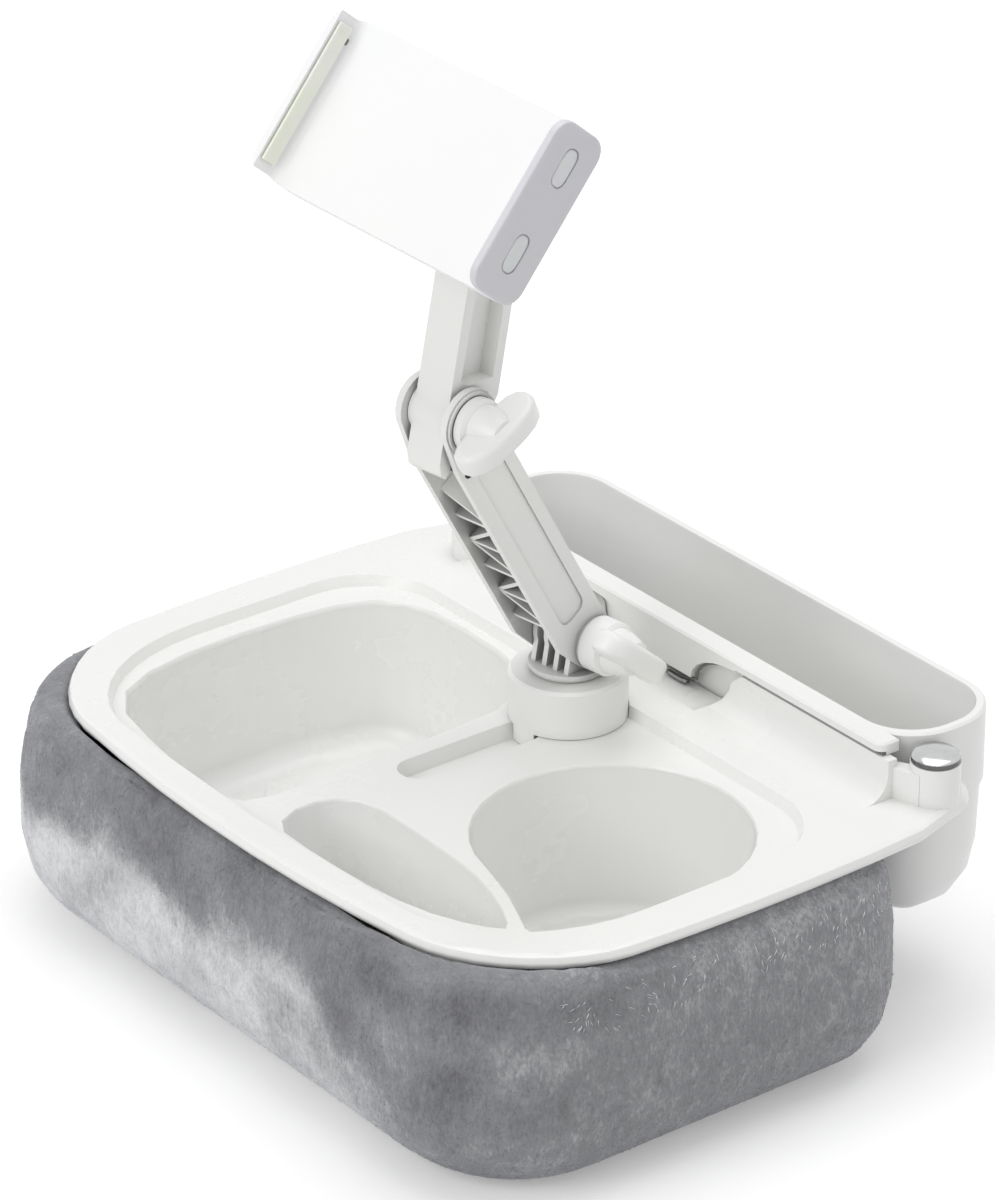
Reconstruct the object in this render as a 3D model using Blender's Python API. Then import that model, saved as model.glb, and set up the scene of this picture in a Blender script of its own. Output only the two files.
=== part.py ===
"""Tablet cushion stand: a plush lap cushion with a moulded tray, a hang-on caddy and a two-link folding arm
that carries a sprung device clamp. Metres, +Z up, +Y to the caddy, +X to the user's right."""

import math

import bmesh
import bpy
from mathutils import Matrix, Vector

# shared fits
FIT = 0.0003
WALL = 0.0024
CENTRE_Y = -0.0040
CORNER_STEPS = 9

# cushion
CUSHION_HALF_X = 0.1630
CUSHION_FRONT = -0.1380
CUSHION_REAR = 0.0665
CUSHION_CORNER_FRONT = 0.056
CUSHION_CORNER_REAR = 0.036
CUSHION_TOP = 0.0868
CUSHION_LEVELS = ((0.0, 0.0270), (0.0035, 0.0165), (0.0090, 0.0090), (0.0190, 0.0030), (0.0340, 0.0),
                  (0.0580, 0.0004), (0.0740, 0.0024), (0.0830, 0.0056), (CUSHION_TOP, 0.0100))
WELL_HALF_X = 0.1415
WELL_FRONT = -0.1222
WELL_REAR = 0.0490
WELL_CORNER = 0.046
WELL_FLOOR = 0.0240
WELL_FLOOR_INSET = 0.0015

# tray
TRAY_HALF_X = 0.1495
TRAY_BOW_X = 0.0068
TRAY_FRONT = 0.1160
TRAY_BOW_FRONT = 0.0142
TRAY_CORNER = 0.050
TRAY_REAR = 0.1040
TRAY_REAR_CORNER = 0.010
TRAY_TAPER_X = 0.0095
TRAY_TAPER_Y = (0.0600, 0.1020)
OUTLINE_STEP = 0.0300
RIM_TOP = 0.0925
RIM_EDGE = 0.0026
DECK_TOP = 0.0905
PLATFORM_TOP = 0.0885
TRAY_UNDER = CUSHION_TOP + FIT
SLAB_UNDER = 0.0850
PLATFORM_HALF_X = 0.1375
PLATFORM_FRONT = -0.1150
PLATFORM_BOW = 0.0025
PLATFORM_REAR = 0.0430
PLATFORM_CORNER = 0.034
PLATFORM_CORNER_FRONT = (0.0555, 0.0670)

BIG_OUTLINE = ((-0.1255, -0.034), (-0.1245, -0.058), (-0.1205, -0.079), (-0.1130, -0.094), (-0.0990, -0.1035),
               (-0.0760, -0.1080), (-0.0550, -0.1110), (-0.0380, -0.1125), (-0.0260, -0.1122), (-0.0190, -0.1080),
               (-0.0165, -0.099), (-0.0162, -0.075), (-0.0165, -0.045), (-0.0172, -0.018), (-0.0190, 0.006),
               (-0.0245, 0.019), (-0.0330, 0.0275), (-0.0430, 0.0325), (-0.0560, 0.0350), (-0.0790, 0.0357),
               (-0.0960, 0.0347), (-0.1085, 0.0305), (-0.1170, 0.0225), (-0.1220, 0.010), (-0.1245, -0.008))
BIG_FLOOR = 0.0300
BIG_FILLET = ((0.0, 0.0150), (0.0030, 0.0085), (0.0090, 0.0045))
CUP_CENTRE = (0.0820, -0.0180)
CUP_RADIUS = 0.0510
CUP_SWEEP = (0.0, 250.0)
CUP_CORNER = ((0.0815, -0.0705), (0.0950, -0.0745), (0.1080, -0.0800), (0.1170, -0.0840), (0.1225, -0.0840),
              (0.1265, -0.0790), (0.1300, -0.0700), (0.1322, -0.0570), (0.1330, -0.0430), (0.1332, -0.0300))
CUP_FLOOR = 0.0300
CUP_FILLET = ((0.0, 0.0100), (0.0015, 0.0070), (0.0050, 0.0045))
POCKET_OUTLINE = ((0.0100, -0.1105), (0.0250, -0.1110), (0.0420, -0.1105), (0.0600, -0.1095), (0.0740, -0.1075),
                  (0.0880, -0.1040), (0.1000, -0.0990), (0.1080, -0.0942), (0.1120, -0.0905), (0.1095, -0.0878),
                  (0.1010, -0.0835), (0.0900, -0.0795), (0.0780, -0.0765), (0.0640, -0.0748), (0.0400, -0.0740),
                  (0.0180, -0.0740), (0.0080, -0.0765), (0.0015, -0.0820), (-0.0012, -0.0890), (-0.0008, -0.0980),
                  (0.0030, -0.1065))
POCKET_FLOOR = 0.0560
GROOVE_X = 0.0010
GROOVE_RADIUS = 0.0080
GROOVE_Y = (-0.0520, 0.0100)
GROOVE_FLOOR = 0.0822

# raised rear wall of the tray, its rounded end and the capped post
REAR_WALL_Y = (0.0712, 0.0752)
CADDY_HALF_X = 0.1305
REAR_WALL_X = (-CADDY_HALF_X + 0.0135, CADDY_HALF_X - 0.0015)
REAR_WALL_TOP = 0.1080
REAR_WALL_FOOT = 0.0100
NOTCH_HALF = 0.0460
NOTCH_RADIUS = 0.0120
NOTCH_FLOOR = 0.0910
END_POST = (-CADDY_HALF_X + 0.0110, 0.0735)
END_POST_RADIUS = 0.0088
CAP_POST = (CADDY_HALF_X + 0.0075, 0.0858)
CAP_POST_RADIUS = 0.0094
CAP_POST_TOP = 0.1080
CAP_RADIUS = 0.0091
CAP_HEIGHT = 0.0036
CAP_STEM_RADIUS = 0.0030
CAP_STEM = 0.0070

# caddy
CADDY_CENTRE_Y = 0.1030
CADDY_HALF_Y = 0.0270
CADDY_TOP = 0.1130
CADDY_WAIST = 0.0830
CADDY_STEP = 0.0012
CADDY_BOTTOM = 0.0280
CADDY_TAPER = 0.0008
CADDY_WALL = 0.0026
CADDY_FOOT = ((0.0, 0.0240), (0.0030, 0.0150), (0.0085, 0.0080), (0.0180, 0.0024))
LIP_GAP = 0.0016
APRON_HALF = 0.0430
APRON_HALF_FOOT = 0.0170
APRON_FOOT = 0.0960
APRON_THICK = 0.0022
BAY_REACH = 0.0500
BAY_CORNER = (0.0245, 0.0245, 0.0200, 0.0200)
BAY_SPARE = 0.0100

# arm base
BOSS = (0.0, 0.0260)
BOSS_RADIUS = 0.0225
BOSS_TOP = 0.1078
BOSS_BORE = 0.0052
AXLE_RADIUS = 0.0040
AXLE_HEAD_RADIUS = 0.0082
AXLE_HEAD = 0.0032
TABLE_RADIUS = 0.0150
TABLE_TOP = 0.1110
WASHER = 0.0008
KNUCKLE_RIBS = 4
KNUCKLE_HALF = 0.0095
KNUCKLE_RIB = 0.0022
KNUCKLE_RADIUS = 0.0100
KNUCKLE_HUB = 0.0062

# arm
YAW = 8.0
PIVOT_1 = Vector((0.0, 0.0008, 0.1225))
LOWER_LEAN = 30.2
LOWER_LENGTH = 0.1279
LOWER_CHEEK = (0.0100, 0.0126)
LOWER_DEPTH = (-0.0148, 0.0096)
LOWER_FOOT_END = 0.0108
LOWER_HEAD_END = 0.0128
LOWER_WEB = 0.0024
LOWER_WEB_SPAN = (0.0170, LOWER_LENGTH - 0.0329)
TRUSS_STEPS = 5
TRUSS_RIB = 0.0016
BAND_RECESS = 0.0007
PIN_RADIUS = 0.0019
PIN_AT = LOWER_LENGTH - 0.0159
UPPER_LEAN = -12.7
UPPER_LENGTH = 0.0864
UPPER_HALF = 0.0082
UPPER_HUB_HALF = 0.0097
UPPER_HUB = 0.0112
UPPER_DEPTH_FOOT = (-0.0082, 0.0166)
UPPER_DEPTH_HEAD = (-0.0072, 0.0160)
UPPER_PLATE = 0.0042
UPPER_WEB = 0.0030
UPPER_TAIL = 0.0220
FORK_GAP = 0.0050
FORK_RADIUS = 0.0085
BOLT_RADIUS = 0.0030
BOLT_HOLE = BOLT_RADIUS + FIT
NUT_RADIUS = 0.0084
NUT_HEIGHT = 0.0052
NUT_SLOT = (0.0016, 0.0120, 0.0014)
KNOB_COLLAR = 0.0105
KNOB_COLLAR_H = 0.0045
KNOB_COLLAR_LOW = 0.0094
KNOB_HUB = 0.0094
KNOB_LENGTH = 0.0200
KNOB_WING = 0.0190
KNOB_THICK = 0.0095
KNOB_BORE = 0.0055
KNOB_TURN_LOWER = 50.0
KNOB_TURN_ELBOW = -66.0
RING_RADIUS = 0.0120
RING_HEIGHT = 0.0010
RING_WIDTH = 0.0012

# clamp
CLAMP_TILT = 39.4
CLAMP_ROLL = 4.5
CLAMP_BACK = 0.0256
CLAMP_FRONT = 0.0366
CLAMP_X = (-0.0565, 0.0557)
CLAMP_Z = (-0.0378, 0.0278)
CLAMP_CORNER = 0.0070
CLAMP_SKIN = 0.0022
LIP_TOP = 0.0485
LIP_THICK = 0.0030
COVER_THICK = 0.0020
JAW_BACK = 0.0206
JAW_X = (0.0560, 0.0594)
JAW_CORNER = 0.0072
JAW_TONGUE_X = 0.0080
JAW_TONGUE_Z = (-0.0193, 0.0113)
JAW_TONGUE_N = (CLAMP_FRONT - 0.0078, CLAMP_FRONT - 0.0040)
ROD_Z = (-0.0245, 0.0165)
ROD_N = CLAMP_FRONT - 0.0059
ROD_RADIUS = 0.0014
ROD_X = (0.0010, 0.0510)
LUG_X = (0.0080, 0.0120)
POST_X = (-0.0005, 0.0045)
RIB_X = (0.0490, 0.0525)
SPRING_RADIUS = 0.0024
SPRING_WIRE = 0.0005
SPRING_TURNS = 11
FLANGE_RADIUS = 0.0170
TONGUE_HALF = 0.0046
SCREW_RADIUS = 0.0024
SCREW_LENGTH = 0.0120
NECK_RADIUS = 0.0066
HEAD_FLANGE = 0.0060
COVER_SCREW_X = (0.0125, 0.0500)
COVER_SCREW_Z = 0.0085
HEAD_COLLAR = 0.0078
HEAD_WING = 0.0086
HEAD_KNOB_LENGTH = 0.0150
HEAD_KNOB_FOOT = 0.0040

COLOURS = {
    "white_plastic": ((0.86, 0.86, 0.84, 1.0), 0.28, 0.0),
    "arm_plastic": ((0.84, 0.84, 0.82, 1.0), 0.38, 0.0),
    "plush_grey": ((0.30, 0.30, 0.31, 1.0), 0.95, 0.0),
    "chrome": ((0.72, 0.73, 0.75, 1.0), 0.10, 1.0),
    "steel": ((0.55, 0.55, 0.56, 1.0), 0.32, 1.0),
    "silicone_ivory": ((0.80, 0.80, 0.68, 1.0), 0.55, 0.0),
    "rubber_lavender": ((0.62, 0.61, 0.66, 1.0), 0.60, 0.0),
    "black_steel": ((0.03, 0.03, 0.03, 1.0), 0.40, 0.6),
    "nylon": ((0.78, 0.78, 0.76, 1.0), 0.45, 0.0),
}


def clear_scene():
    for item in list(bpy.data.objects):
        bpy.data.objects.remove(item, do_unlink=True)


def material(name, slot):
    colour, roughness, metallic = COLOURS[slot]
    made = bpy.data.materials.new(name + "_" + slot)
    made.use_nodes = True
    shader = made.node_tree.nodes["Principled BSDF"]
    shader.inputs["Base Color"].default_value = colour
    shader.inputs["Roughness"].default_value = roughness
    shader.inputs["Metallic"].default_value = metallic
    made.diffuse_color = colour
    return made


def mesh_object(name, mesh_data):
    mesh = bpy.data.meshes.new(name)
    bmesh.ops.recalc_face_normals(mesh_data, faces=mesh_data.faces)
    mesh_data.to_mesh(mesh)
    mesh_data.free()
    made = bpy.data.objects.new(name, mesh)
    bpy.context.scene.collection.objects.link(made)
    return made


def arc(centre, radius, start, end, steps):
    points = []
    for step in range(steps + 1):
        angle = math.radians(start + (end - start) * step / steps)
        points.append((centre[0] + radius * math.cos(angle), centre[1] + radius * math.sin(angle)))
    return points


def rounded_box_outline(x_range, y_range, radii, steps=CORNER_STEPS):
    """Counter-clockwise outline; radii run front-left, front-right, rear-right, rear-left."""
    x0, x1 = x_range
    y0, y1 = y_range
    r = radii if isinstance(radii, (tuple, list)) else (radii,) * 4
    points = arc((x0 + r[0], y0 + r[0]), r[0], 180, 270, steps)
    points += arc((x1 - r[1], y0 + r[1]), r[1], 270, 360, steps)
    points += arc((x1 - r[2], y1 - r[2]), r[2], 0, 90, steps)
    points += arc((x0 + r[3], y1 - r[3]), r[3], 90, 180, steps)
    return points


def dense(points, longest):
    """Adds points on long straight runs so that a bow can bend them."""
    out = []
    for index, point in enumerate(points):
        after = points[(index + 1) % len(points)]
        span = math.dist(point, after)
        parts = max(1, math.ceil(span / longest))
        for part in range(parts):
            share = part / parts
            out.append((point[0] + (after[0] - point[0]) * share, point[1] + (after[1] - point[1]) * share))
    return out


def inset(points, distance):
    """Moves each point of a counter-clockwise outline inwards along its bisector."""
    out = []
    count = len(points)
    for index in range(count):
        before = Vector(points[index - 1])
        here = Vector(points[index])
        after = Vector(points[(index + 1) % count])
        one = (here - before).normalized()
        two = (after - here).normalized()
        normal = Vector((-(one.y + two.y), one.x + two.x))
        if normal.length < 1e-9:
            normal = Vector((-one.y, one.x))
        normal.normalize()
        lean = max(0.5, normal.dot(Vector((-one.y, one.x))))
        moved = here + normal * (distance / lean)
        out.append((moved.x, moved.y))
    return out


def tray_outline(offset=0.0):
    """Bowed rim outline of the tray with its large front corners."""
    points = rounded_box_outline((-TRAY_HALF_X, TRAY_HALF_X), (-TRAY_FRONT, TRAY_REAR),
                                 (TRAY_CORNER, TRAY_CORNER, TRAY_REAR_CORNER, TRAY_REAR_CORNER))
    bowed = []
    for x, y in dense(points, OUTLINE_STEP):
        side = max(0.0, 1.0 - (y / TRAY_FRONT) ** 2)
        front = max(0.0, 1.0 - (x / TRAY_HALF_X) ** 2)
        reach = min(1.0, abs(x) / TRAY_HALF_X)
        taper = max(0.0, (y - TRAY_TAPER_Y[0]) / (TRAY_TAPER_Y[1] - TRAY_TAPER_Y[0]))
        across = x + math.copysign(1.0, x) * (TRAY_BOW_X * side - TRAY_TAPER_X * taper * taper) * reach
        down = y - TRAY_BOW_FRONT * front * min(1.0, max(0.0, -y / TRAY_FRONT))
        bowed.append((across, down))
    return inset(bowed, offset) if offset else bowed


def cushion_outline(offset=0.0):
    points = rounded_box_outline((-CUSHION_HALF_X, CUSHION_HALF_X), (CUSHION_FRONT, CUSHION_REAR),
                                 (CUSHION_CORNER_FRONT, CUSHION_CORNER_FRONT,
                                  CUSHION_CORNER_REAR, CUSHION_CORNER_REAR))
    return inset(points, offset) if offset else points


def loft(name, rings, close=True):
    """Solid through rings of equal count, each a list of (x, y, z)."""
    data = bmesh.new()
    loops = []
    for ring in rings:
        loops.append([data.verts.new(point) for point in ring])
    count = len(loops[0])
    for low, high in zip(loops, loops[1:]):
        for index in range(count):
            after = (index + 1) % count
            data.faces.new((low[index], low[after], high[after], high[index]))
    if close:
        data.faces.new(list(reversed(loops[0])))
        data.faces.new(loops[-1])
    return mesh_object(name, data)


def prism(name, outline, low, high, top_outline=None):
    top = top_outline or outline
    return loft(name, [[(x, y, low) for x, y in outline], [(x, y, high) for x, y in top]])


def revolve(name, profile, steps=32):
    """Turns (radius, height) points round Z; the profile runs from the axis, round the outside, to the axis."""
    data = bmesh.new()
    edge = [data.verts.new((max(radius, 0.0), 0.0, height)) for radius, height in profile]
    edges = [data.edges.new(pair) for pair in zip(edge, edge[1:])]
    bmesh.ops.spin(data, geom=edge + edges, cent=(0, 0, 0), axis=(0, 0, 1), angle=2 * math.pi, steps=steps,
                   use_merge=True, use_duplicate=False)
    bmesh.ops.remove_doubles(data, verts=data.verts, dist=0.00001)
    return mesh_object(name, data)


def cylinder(name, radius, low, high, steps=32, centre=(0.0, 0.0), edge=0.0):
    """Upright cylinder with an optional chamfer at both ends."""
    profile = [(0.0, low)]
    profile += [(radius - edge, low), (radius, low + edge)] if edge else [(radius, low)]
    profile += [(radius, high - edge), (radius - edge, high)] if edge else [(radius, high)]
    profile += [(0.0, high)]
    made = revolve(name, profile, steps)
    made.data.transform(Matrix.Translation((centre[0], centre[1], 0.0)))
    return made


def box(name, x_range, y_range, z_range):
    outline = [(x_range[0], y_range[0]), (x_range[1], y_range[0]), (x_range[1], y_range[1]), (x_range[0], y_range[1])]
    return prism(name, outline, z_range[0], z_range[1])


def along_x(made):
    """Lays an upright piece with its axis along +X."""
    made.data.transform(Matrix.Rotation(math.radians(90), 4, "Y"))
    return made


def side_plate(name, outline, x_range):
    """Prism of a (y, z) outline that spans x_range."""
    made = prism(name, outline, x_range[0], x_range[1])
    made.data.transform(Matrix(((0, 0, 1, 0), (1, 0, 0, 0), (0, 1, 0, 0), (0, 0, 0, 1))))
    return made


def front_plate(name, outline, y_range):
    """Prism of an (x, z) outline that spans y_range."""
    made = prism(name, outline, -y_range[1], -y_range[0])
    made.data.transform(Matrix(((1, 0, 0, 0), (0, 0, -1, 0), (0, 1, 0, 0), (0, 0, 0, 1))))
    return made


def apply_modifiers(made):
    bpy.context.view_layer.update()
    graph = bpy.context.evaluated_depsgraph_get()
    mesh = bpy.data.meshes.new_from_object(made.evaluated_get(graph))
    made.modifiers.clear()
    old = made.data
    made.data = mesh
    bpy.data.meshes.remove(old)


def combine(made, others, operation):
    for other in others:
        change = made.modifiers.new("combine", "BOOLEAN")
        change.operation = operation
        change.solver = "EXACT"
        change.object = other
        apply_modifiers(made)
        bpy.data.objects.remove(other, do_unlink=True)
    return made


def join(made, *others):
    return combine(made, others, "UNION")


def cut(made, *others):
    return combine(made, others, "DIFFERENCE")


def keep(made, *others):
    return combine(made, others, "INTERSECT")


def soften(made, width, segments=2, angle=40.0):
    change = made.modifiers.new("edge", "BEVEL")
    change.width = width
    change.segments = segments
    change.limit_method = "ANGLE"
    change.angle_limit = math.radians(angle)
    change.harden_normals = False
    apply_modifiers(made)
    return made


def tidy(made):
    data = bmesh.new()
    data.from_mesh(made.data)
    bmesh.ops.remove_doubles(data, verts=data.verts, dist=0.00002)
    bmesh.ops.dissolve_degenerate(data, edges=data.edges, dist=0.00002)
    data.to_mesh(made.data)
    data.free()
    return made


def finish(made, slot, origin=(0.0, 0.0, 0.0), turn=None):
    """Places a piece modelled about its own origin, gives it its material and smooths its round faces."""
    tidy(made)
    made.data.materials.clear()
    made.data.materials.append(material(made.name, slot))
    made.data.shade_smooth()
    made.data.set_sharp_from_angle(angle=math.radians(35))
    if turn is not None:
        made.data.transform(turn)
    made.location = Vector(origin) - Vector((0.0, CENTRE_Y, 0.0))
    return made


def shift(made, x=0.0, y=0.0, z=0.0):
    made.data.transform(Matrix.Translation((x, y, z)))
    return made


def make_cushion():
    rings = []
    for height, offset in CUSHION_LEVELS:
        rings.append([(x, y, height) for x, y in cushion_outline(offset)])
    cushion = loft("cushion", rings)
    cut(cushion, prism("well", well_outline(WELL_FLOOR_INSET), WELL_FLOOR, CUSHION_TOP + 0.004, well_outline()))
    finish(cushion, "plush_grey")


def ellipse_arc(centre, radii, start, end, steps):
    points = []
    for step in range(steps + 1):
        angle = math.radians(start + (end - start) * step / steps)
        points.append((centre[0] + radii[0] * math.cos(angle), centre[1] + radii[1] * math.sin(angle)))
    return points


def platform_outline(offset):
    """Recessed deck of the tray: long elliptical front corners and a slightly bowed front."""
    across, along = PLATFORM_CORNER_FRONT
    x = PLATFORM_HALF_X - across
    y = PLATFORM_FRONT + along
    points = ellipse_arc((-x, y), PLATFORM_CORNER_FRONT, 180, 270, CORNER_STEPS)
    points.append((0.0, PLATFORM_FRONT - PLATFORM_BOW))
    points += ellipse_arc((x, y), PLATFORM_CORNER_FRONT, 270, 360, CORNER_STEPS)
    rear = PLATFORM_CORNER
    points += arc((PLATFORM_HALF_X - rear, PLATFORM_REAR - rear), rear, 0, 90, CORNER_STEPS)
    points += arc((-PLATFORM_HALF_X + rear, PLATFORM_REAR - rear), rear, 90, 180, CORNER_STEPS)
    return inset(points, offset)


def cup_outline(offset):
    """Cup holder: a round rear part that runs out into the front corner of the deck."""
    points = arc(CUP_CENTRE, CUP_RADIUS, CUP_SWEEP[0], CUP_SWEEP[1], 24) + list(CUP_CORNER)
    return inset(points, offset)


def well_outline(offset=0.0):
    return inset(rounded_box_outline((-WELL_HALF_X, WELL_HALF_X), (WELL_FRONT, WELL_REAR), WELL_CORNER), offset)


def level(points, height):
    return [(x, y, height) for x, y in points]


def pot_cut(name, outline, floor, fillet, lip, flare):
    """Cutter for a compartment: filleted floor, drafted wall and a flared mouth."""
    rings = [level(outline(offset), floor + rise) for rise, offset in fillet]
    rings.append(level(outline(0.0), PLATFORM_TOP - lip))
    rings.append(level(outline(-flare), PLATFORM_TOP + lip))
    return loft(name, rings)


def big_outline(offset):
    return inset(BIG_OUTLINE, offset)


def pocket_outline(offset):
    return inset(POCKET_OUTLINE, offset)


def make_tray():
    rim = tray_outline()
    tray = loft("tray", [
        [(x, y, TRAY_UNDER) for x, y in tray_outline(0.0012)],
        [(x, y, TRAY_UNDER + 0.0016) for x, y in rim],
        [(x, y, RIM_TOP - RIM_EDGE) for x, y in rim],
        [(x, y, RIM_TOP - RIM_EDGE * 0.3) for x, y in tray_outline(RIM_EDGE * 0.3)],
        [(x, y, RIM_TOP) for x, y in tray_outline(RIM_EDGE)],
    ])
    # slab inside the cushion well and the pots that hang below it
    slab_top = TRAY_UNDER + 0.0014
    slab = well_outline(FIT * 2)
    pots = [prism("slab", slab, SLAB_UNDER, slab_top)]
    for name, outline, floor, foot in (("big_pot", big_outline, BIG_FLOOR, 0.0060),
                                       ("pocket_pot", pocket_outline, POCKET_FLOOR, 0.0030),
                                       ("cup_pot", cup_outline, CUP_FLOOR, 0.0060)):
        pots.append(loft(name, [level(outline(foot), floor - WALL), level(outline(0.0010 - WALL), floor + 0.0100),
                                level(outline(-WALL), slab_top)]))
    join(tray, *pots)
    # raised rear wall with its swept foot, rounded end and post
    x0, x1 = REAR_WALL_X
    y0, y1 = REAR_WALL_Y
    section = [(y1, DECK_TOP - 0.002), (y1, REAR_WALL_TOP), (y0, REAR_WALL_TOP)]
    for step in range(6):
        angle = math.radians(90.0 * step / 5)
        section.append((y0 - REAR_WALL_FOOT * (1 - math.cos(angle)),
                        RIM_TOP + REAR_WALL_FOOT * (1 - math.sin(angle))))
    section.append((y0 - REAR_WALL_FOOT, DECK_TOP - 0.002))
    wall = side_plate("rear_wall", list(reversed(section)), (x0, x1))
    join(wall, cylinder("end_post", END_POST_RADIUS, DECK_TOP - 0.002, REAR_WALL_TOP, 24, END_POST))
    join(wall, cylinder("cap_post", CAP_POST_RADIUS, DECK_TOP - 0.002, CAP_POST_TOP, 28, CAP_POST))
    join(wall, prism("corner_web", [(x1 - 0.006, y0 + 0.0005), (CAP_POST[0] + 0.002, CAP_POST[1] - 0.0095),
                                    (CAP_POST[0], CAP_POST[1] - 0.0020), (x1 - 0.008, y1 - 0.0005)],
                     DECK_TOP - 0.002, CAP_POST_TOP - 0.003))
    join(tray, wall)
    notch = [(-NOTCH_HALF, REAR_WALL_TOP + 0.004), (-NOTCH_HALF, REAR_WALL_TOP)]
    notch += arc((-NOTCH_HALF + NOTCH_RADIUS + 0.006, NOTCH_FLOOR + NOTCH_RADIUS), NOTCH_RADIUS, 180, 270, 5)
    notch += arc((NOTCH_HALF - NOTCH_RADIUS - 0.006, NOTCH_FLOOR + NOTCH_RADIUS), NOTCH_RADIUS, 270, 360, 5)
    notch += [(NOTCH_HALF, REAR_WALL_TOP), (NOTCH_HALF, REAR_WALL_TOP + 0.004)]
    cut(tray, front_plate("notch", notch, (y0 - REAR_WALL_FOOT - 0.002, y1 + 0.002)))
    # bay for the caddy
    bay = rounded_box_outline((-CADDY_HALF_X - FIT, CADDY_HALF_X + FIT), (REAR_WALL_Y[1], TRAY_REAR + BAY_REACH),
                              BAY_CORNER)
    cut(tray, prism("bay", bay, TRAY_UNDER - BAY_SPARE, CADDY_TOP + BAY_SPARE))
    # recessed platform, compartments, cup holder, pen groove, post socket, boss bore
    cutters = [prism("platform", platform_outline(0.0020), PLATFORM_TOP, RIM_TOP + 0.004, platform_outline(-0.0020))]
    cutters.append(pot_cut("big_cut", big_outline, BIG_FLOOR, BIG_FILLET, 0.0022, 0.0030))
    cutters.append(pot_cut("pocket_cut", pocket_outline, POCKET_FLOOR, ((0.0, 0.0050), (0.0030, 0.0025)), 0.0012, 0.0016))
    cutters.append(pot_cut("cup_cut", cup_outline, CUP_FLOOR, CUP_FILLET, 0.0014, 0.0022))
    groove = rounded_box_outline((GROOVE_X - GROOVE_RADIUS, GROOVE_X + GROOVE_RADIUS), GROOVE_Y, GROOVE_RADIUS - 0.0002)
    groove_pot = prism("groove_pot", inset(groove, -WALL * 0.4), GROOVE_FLOOR - WALL, slab_top)
    join(tray, groove_pot)
    cutters.append(prism("groove_cut", inset(groove, 0.0015), GROOVE_FLOOR, PLATFORM_TOP + 0.002, inset(groove, -0.0006)))
    cutters.append(cylinder("boss_bore", BOSS_BORE, SLAB_UNDER - 0.010, RIM_TOP, 24, BOSS))
    cutters.append(cylinder("boss_seat", BOSS_RADIUS + FIT, PLATFORM_TOP, RIM_TOP + 0.010, 48, BOSS))
    cutters.append(cylinder("cap_bore", CAP_STEM_RADIUS + FIT, CAP_POST_TOP - CAP_STEM - 0.001,
                            CAP_POST_TOP + 0.002, 20, CAP_POST))
    cut(tray, *cutters)
    finish(tray, "white_plastic")


def make_post_cap():
    cap = revolve("post_cap", [
        (0.0, -CAP_STEM), (CAP_STEM_RADIUS, -CAP_STEM), (CAP_STEM_RADIUS, FIT), (CAP_RADIUS, FIT),
        (CAP_RADIUS, CAP_HEIGHT * 0.55), (CAP_RADIUS * 0.86, CAP_HEIGHT * 0.88), (CAP_RADIUS * 0.45, CAP_HEIGHT),
        (0.0, CAP_HEIGHT * 1.04)], 36)
    finish(cap, "chrome", (CAP_POST[0], CAP_POST[1], CAP_POST_TOP))


def caddy_ring(offset, height):
    outline = rounded_box_outline((-CADDY_HALF_X, CADDY_HALF_X), (-CADDY_HALF_Y, CADDY_HALF_Y),
                                  CADDY_HALF_Y - 0.0025, 9)
    return [(x, y + CADDY_CENTRE_Y, height) for x, y in inset(outline, offset)]


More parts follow.
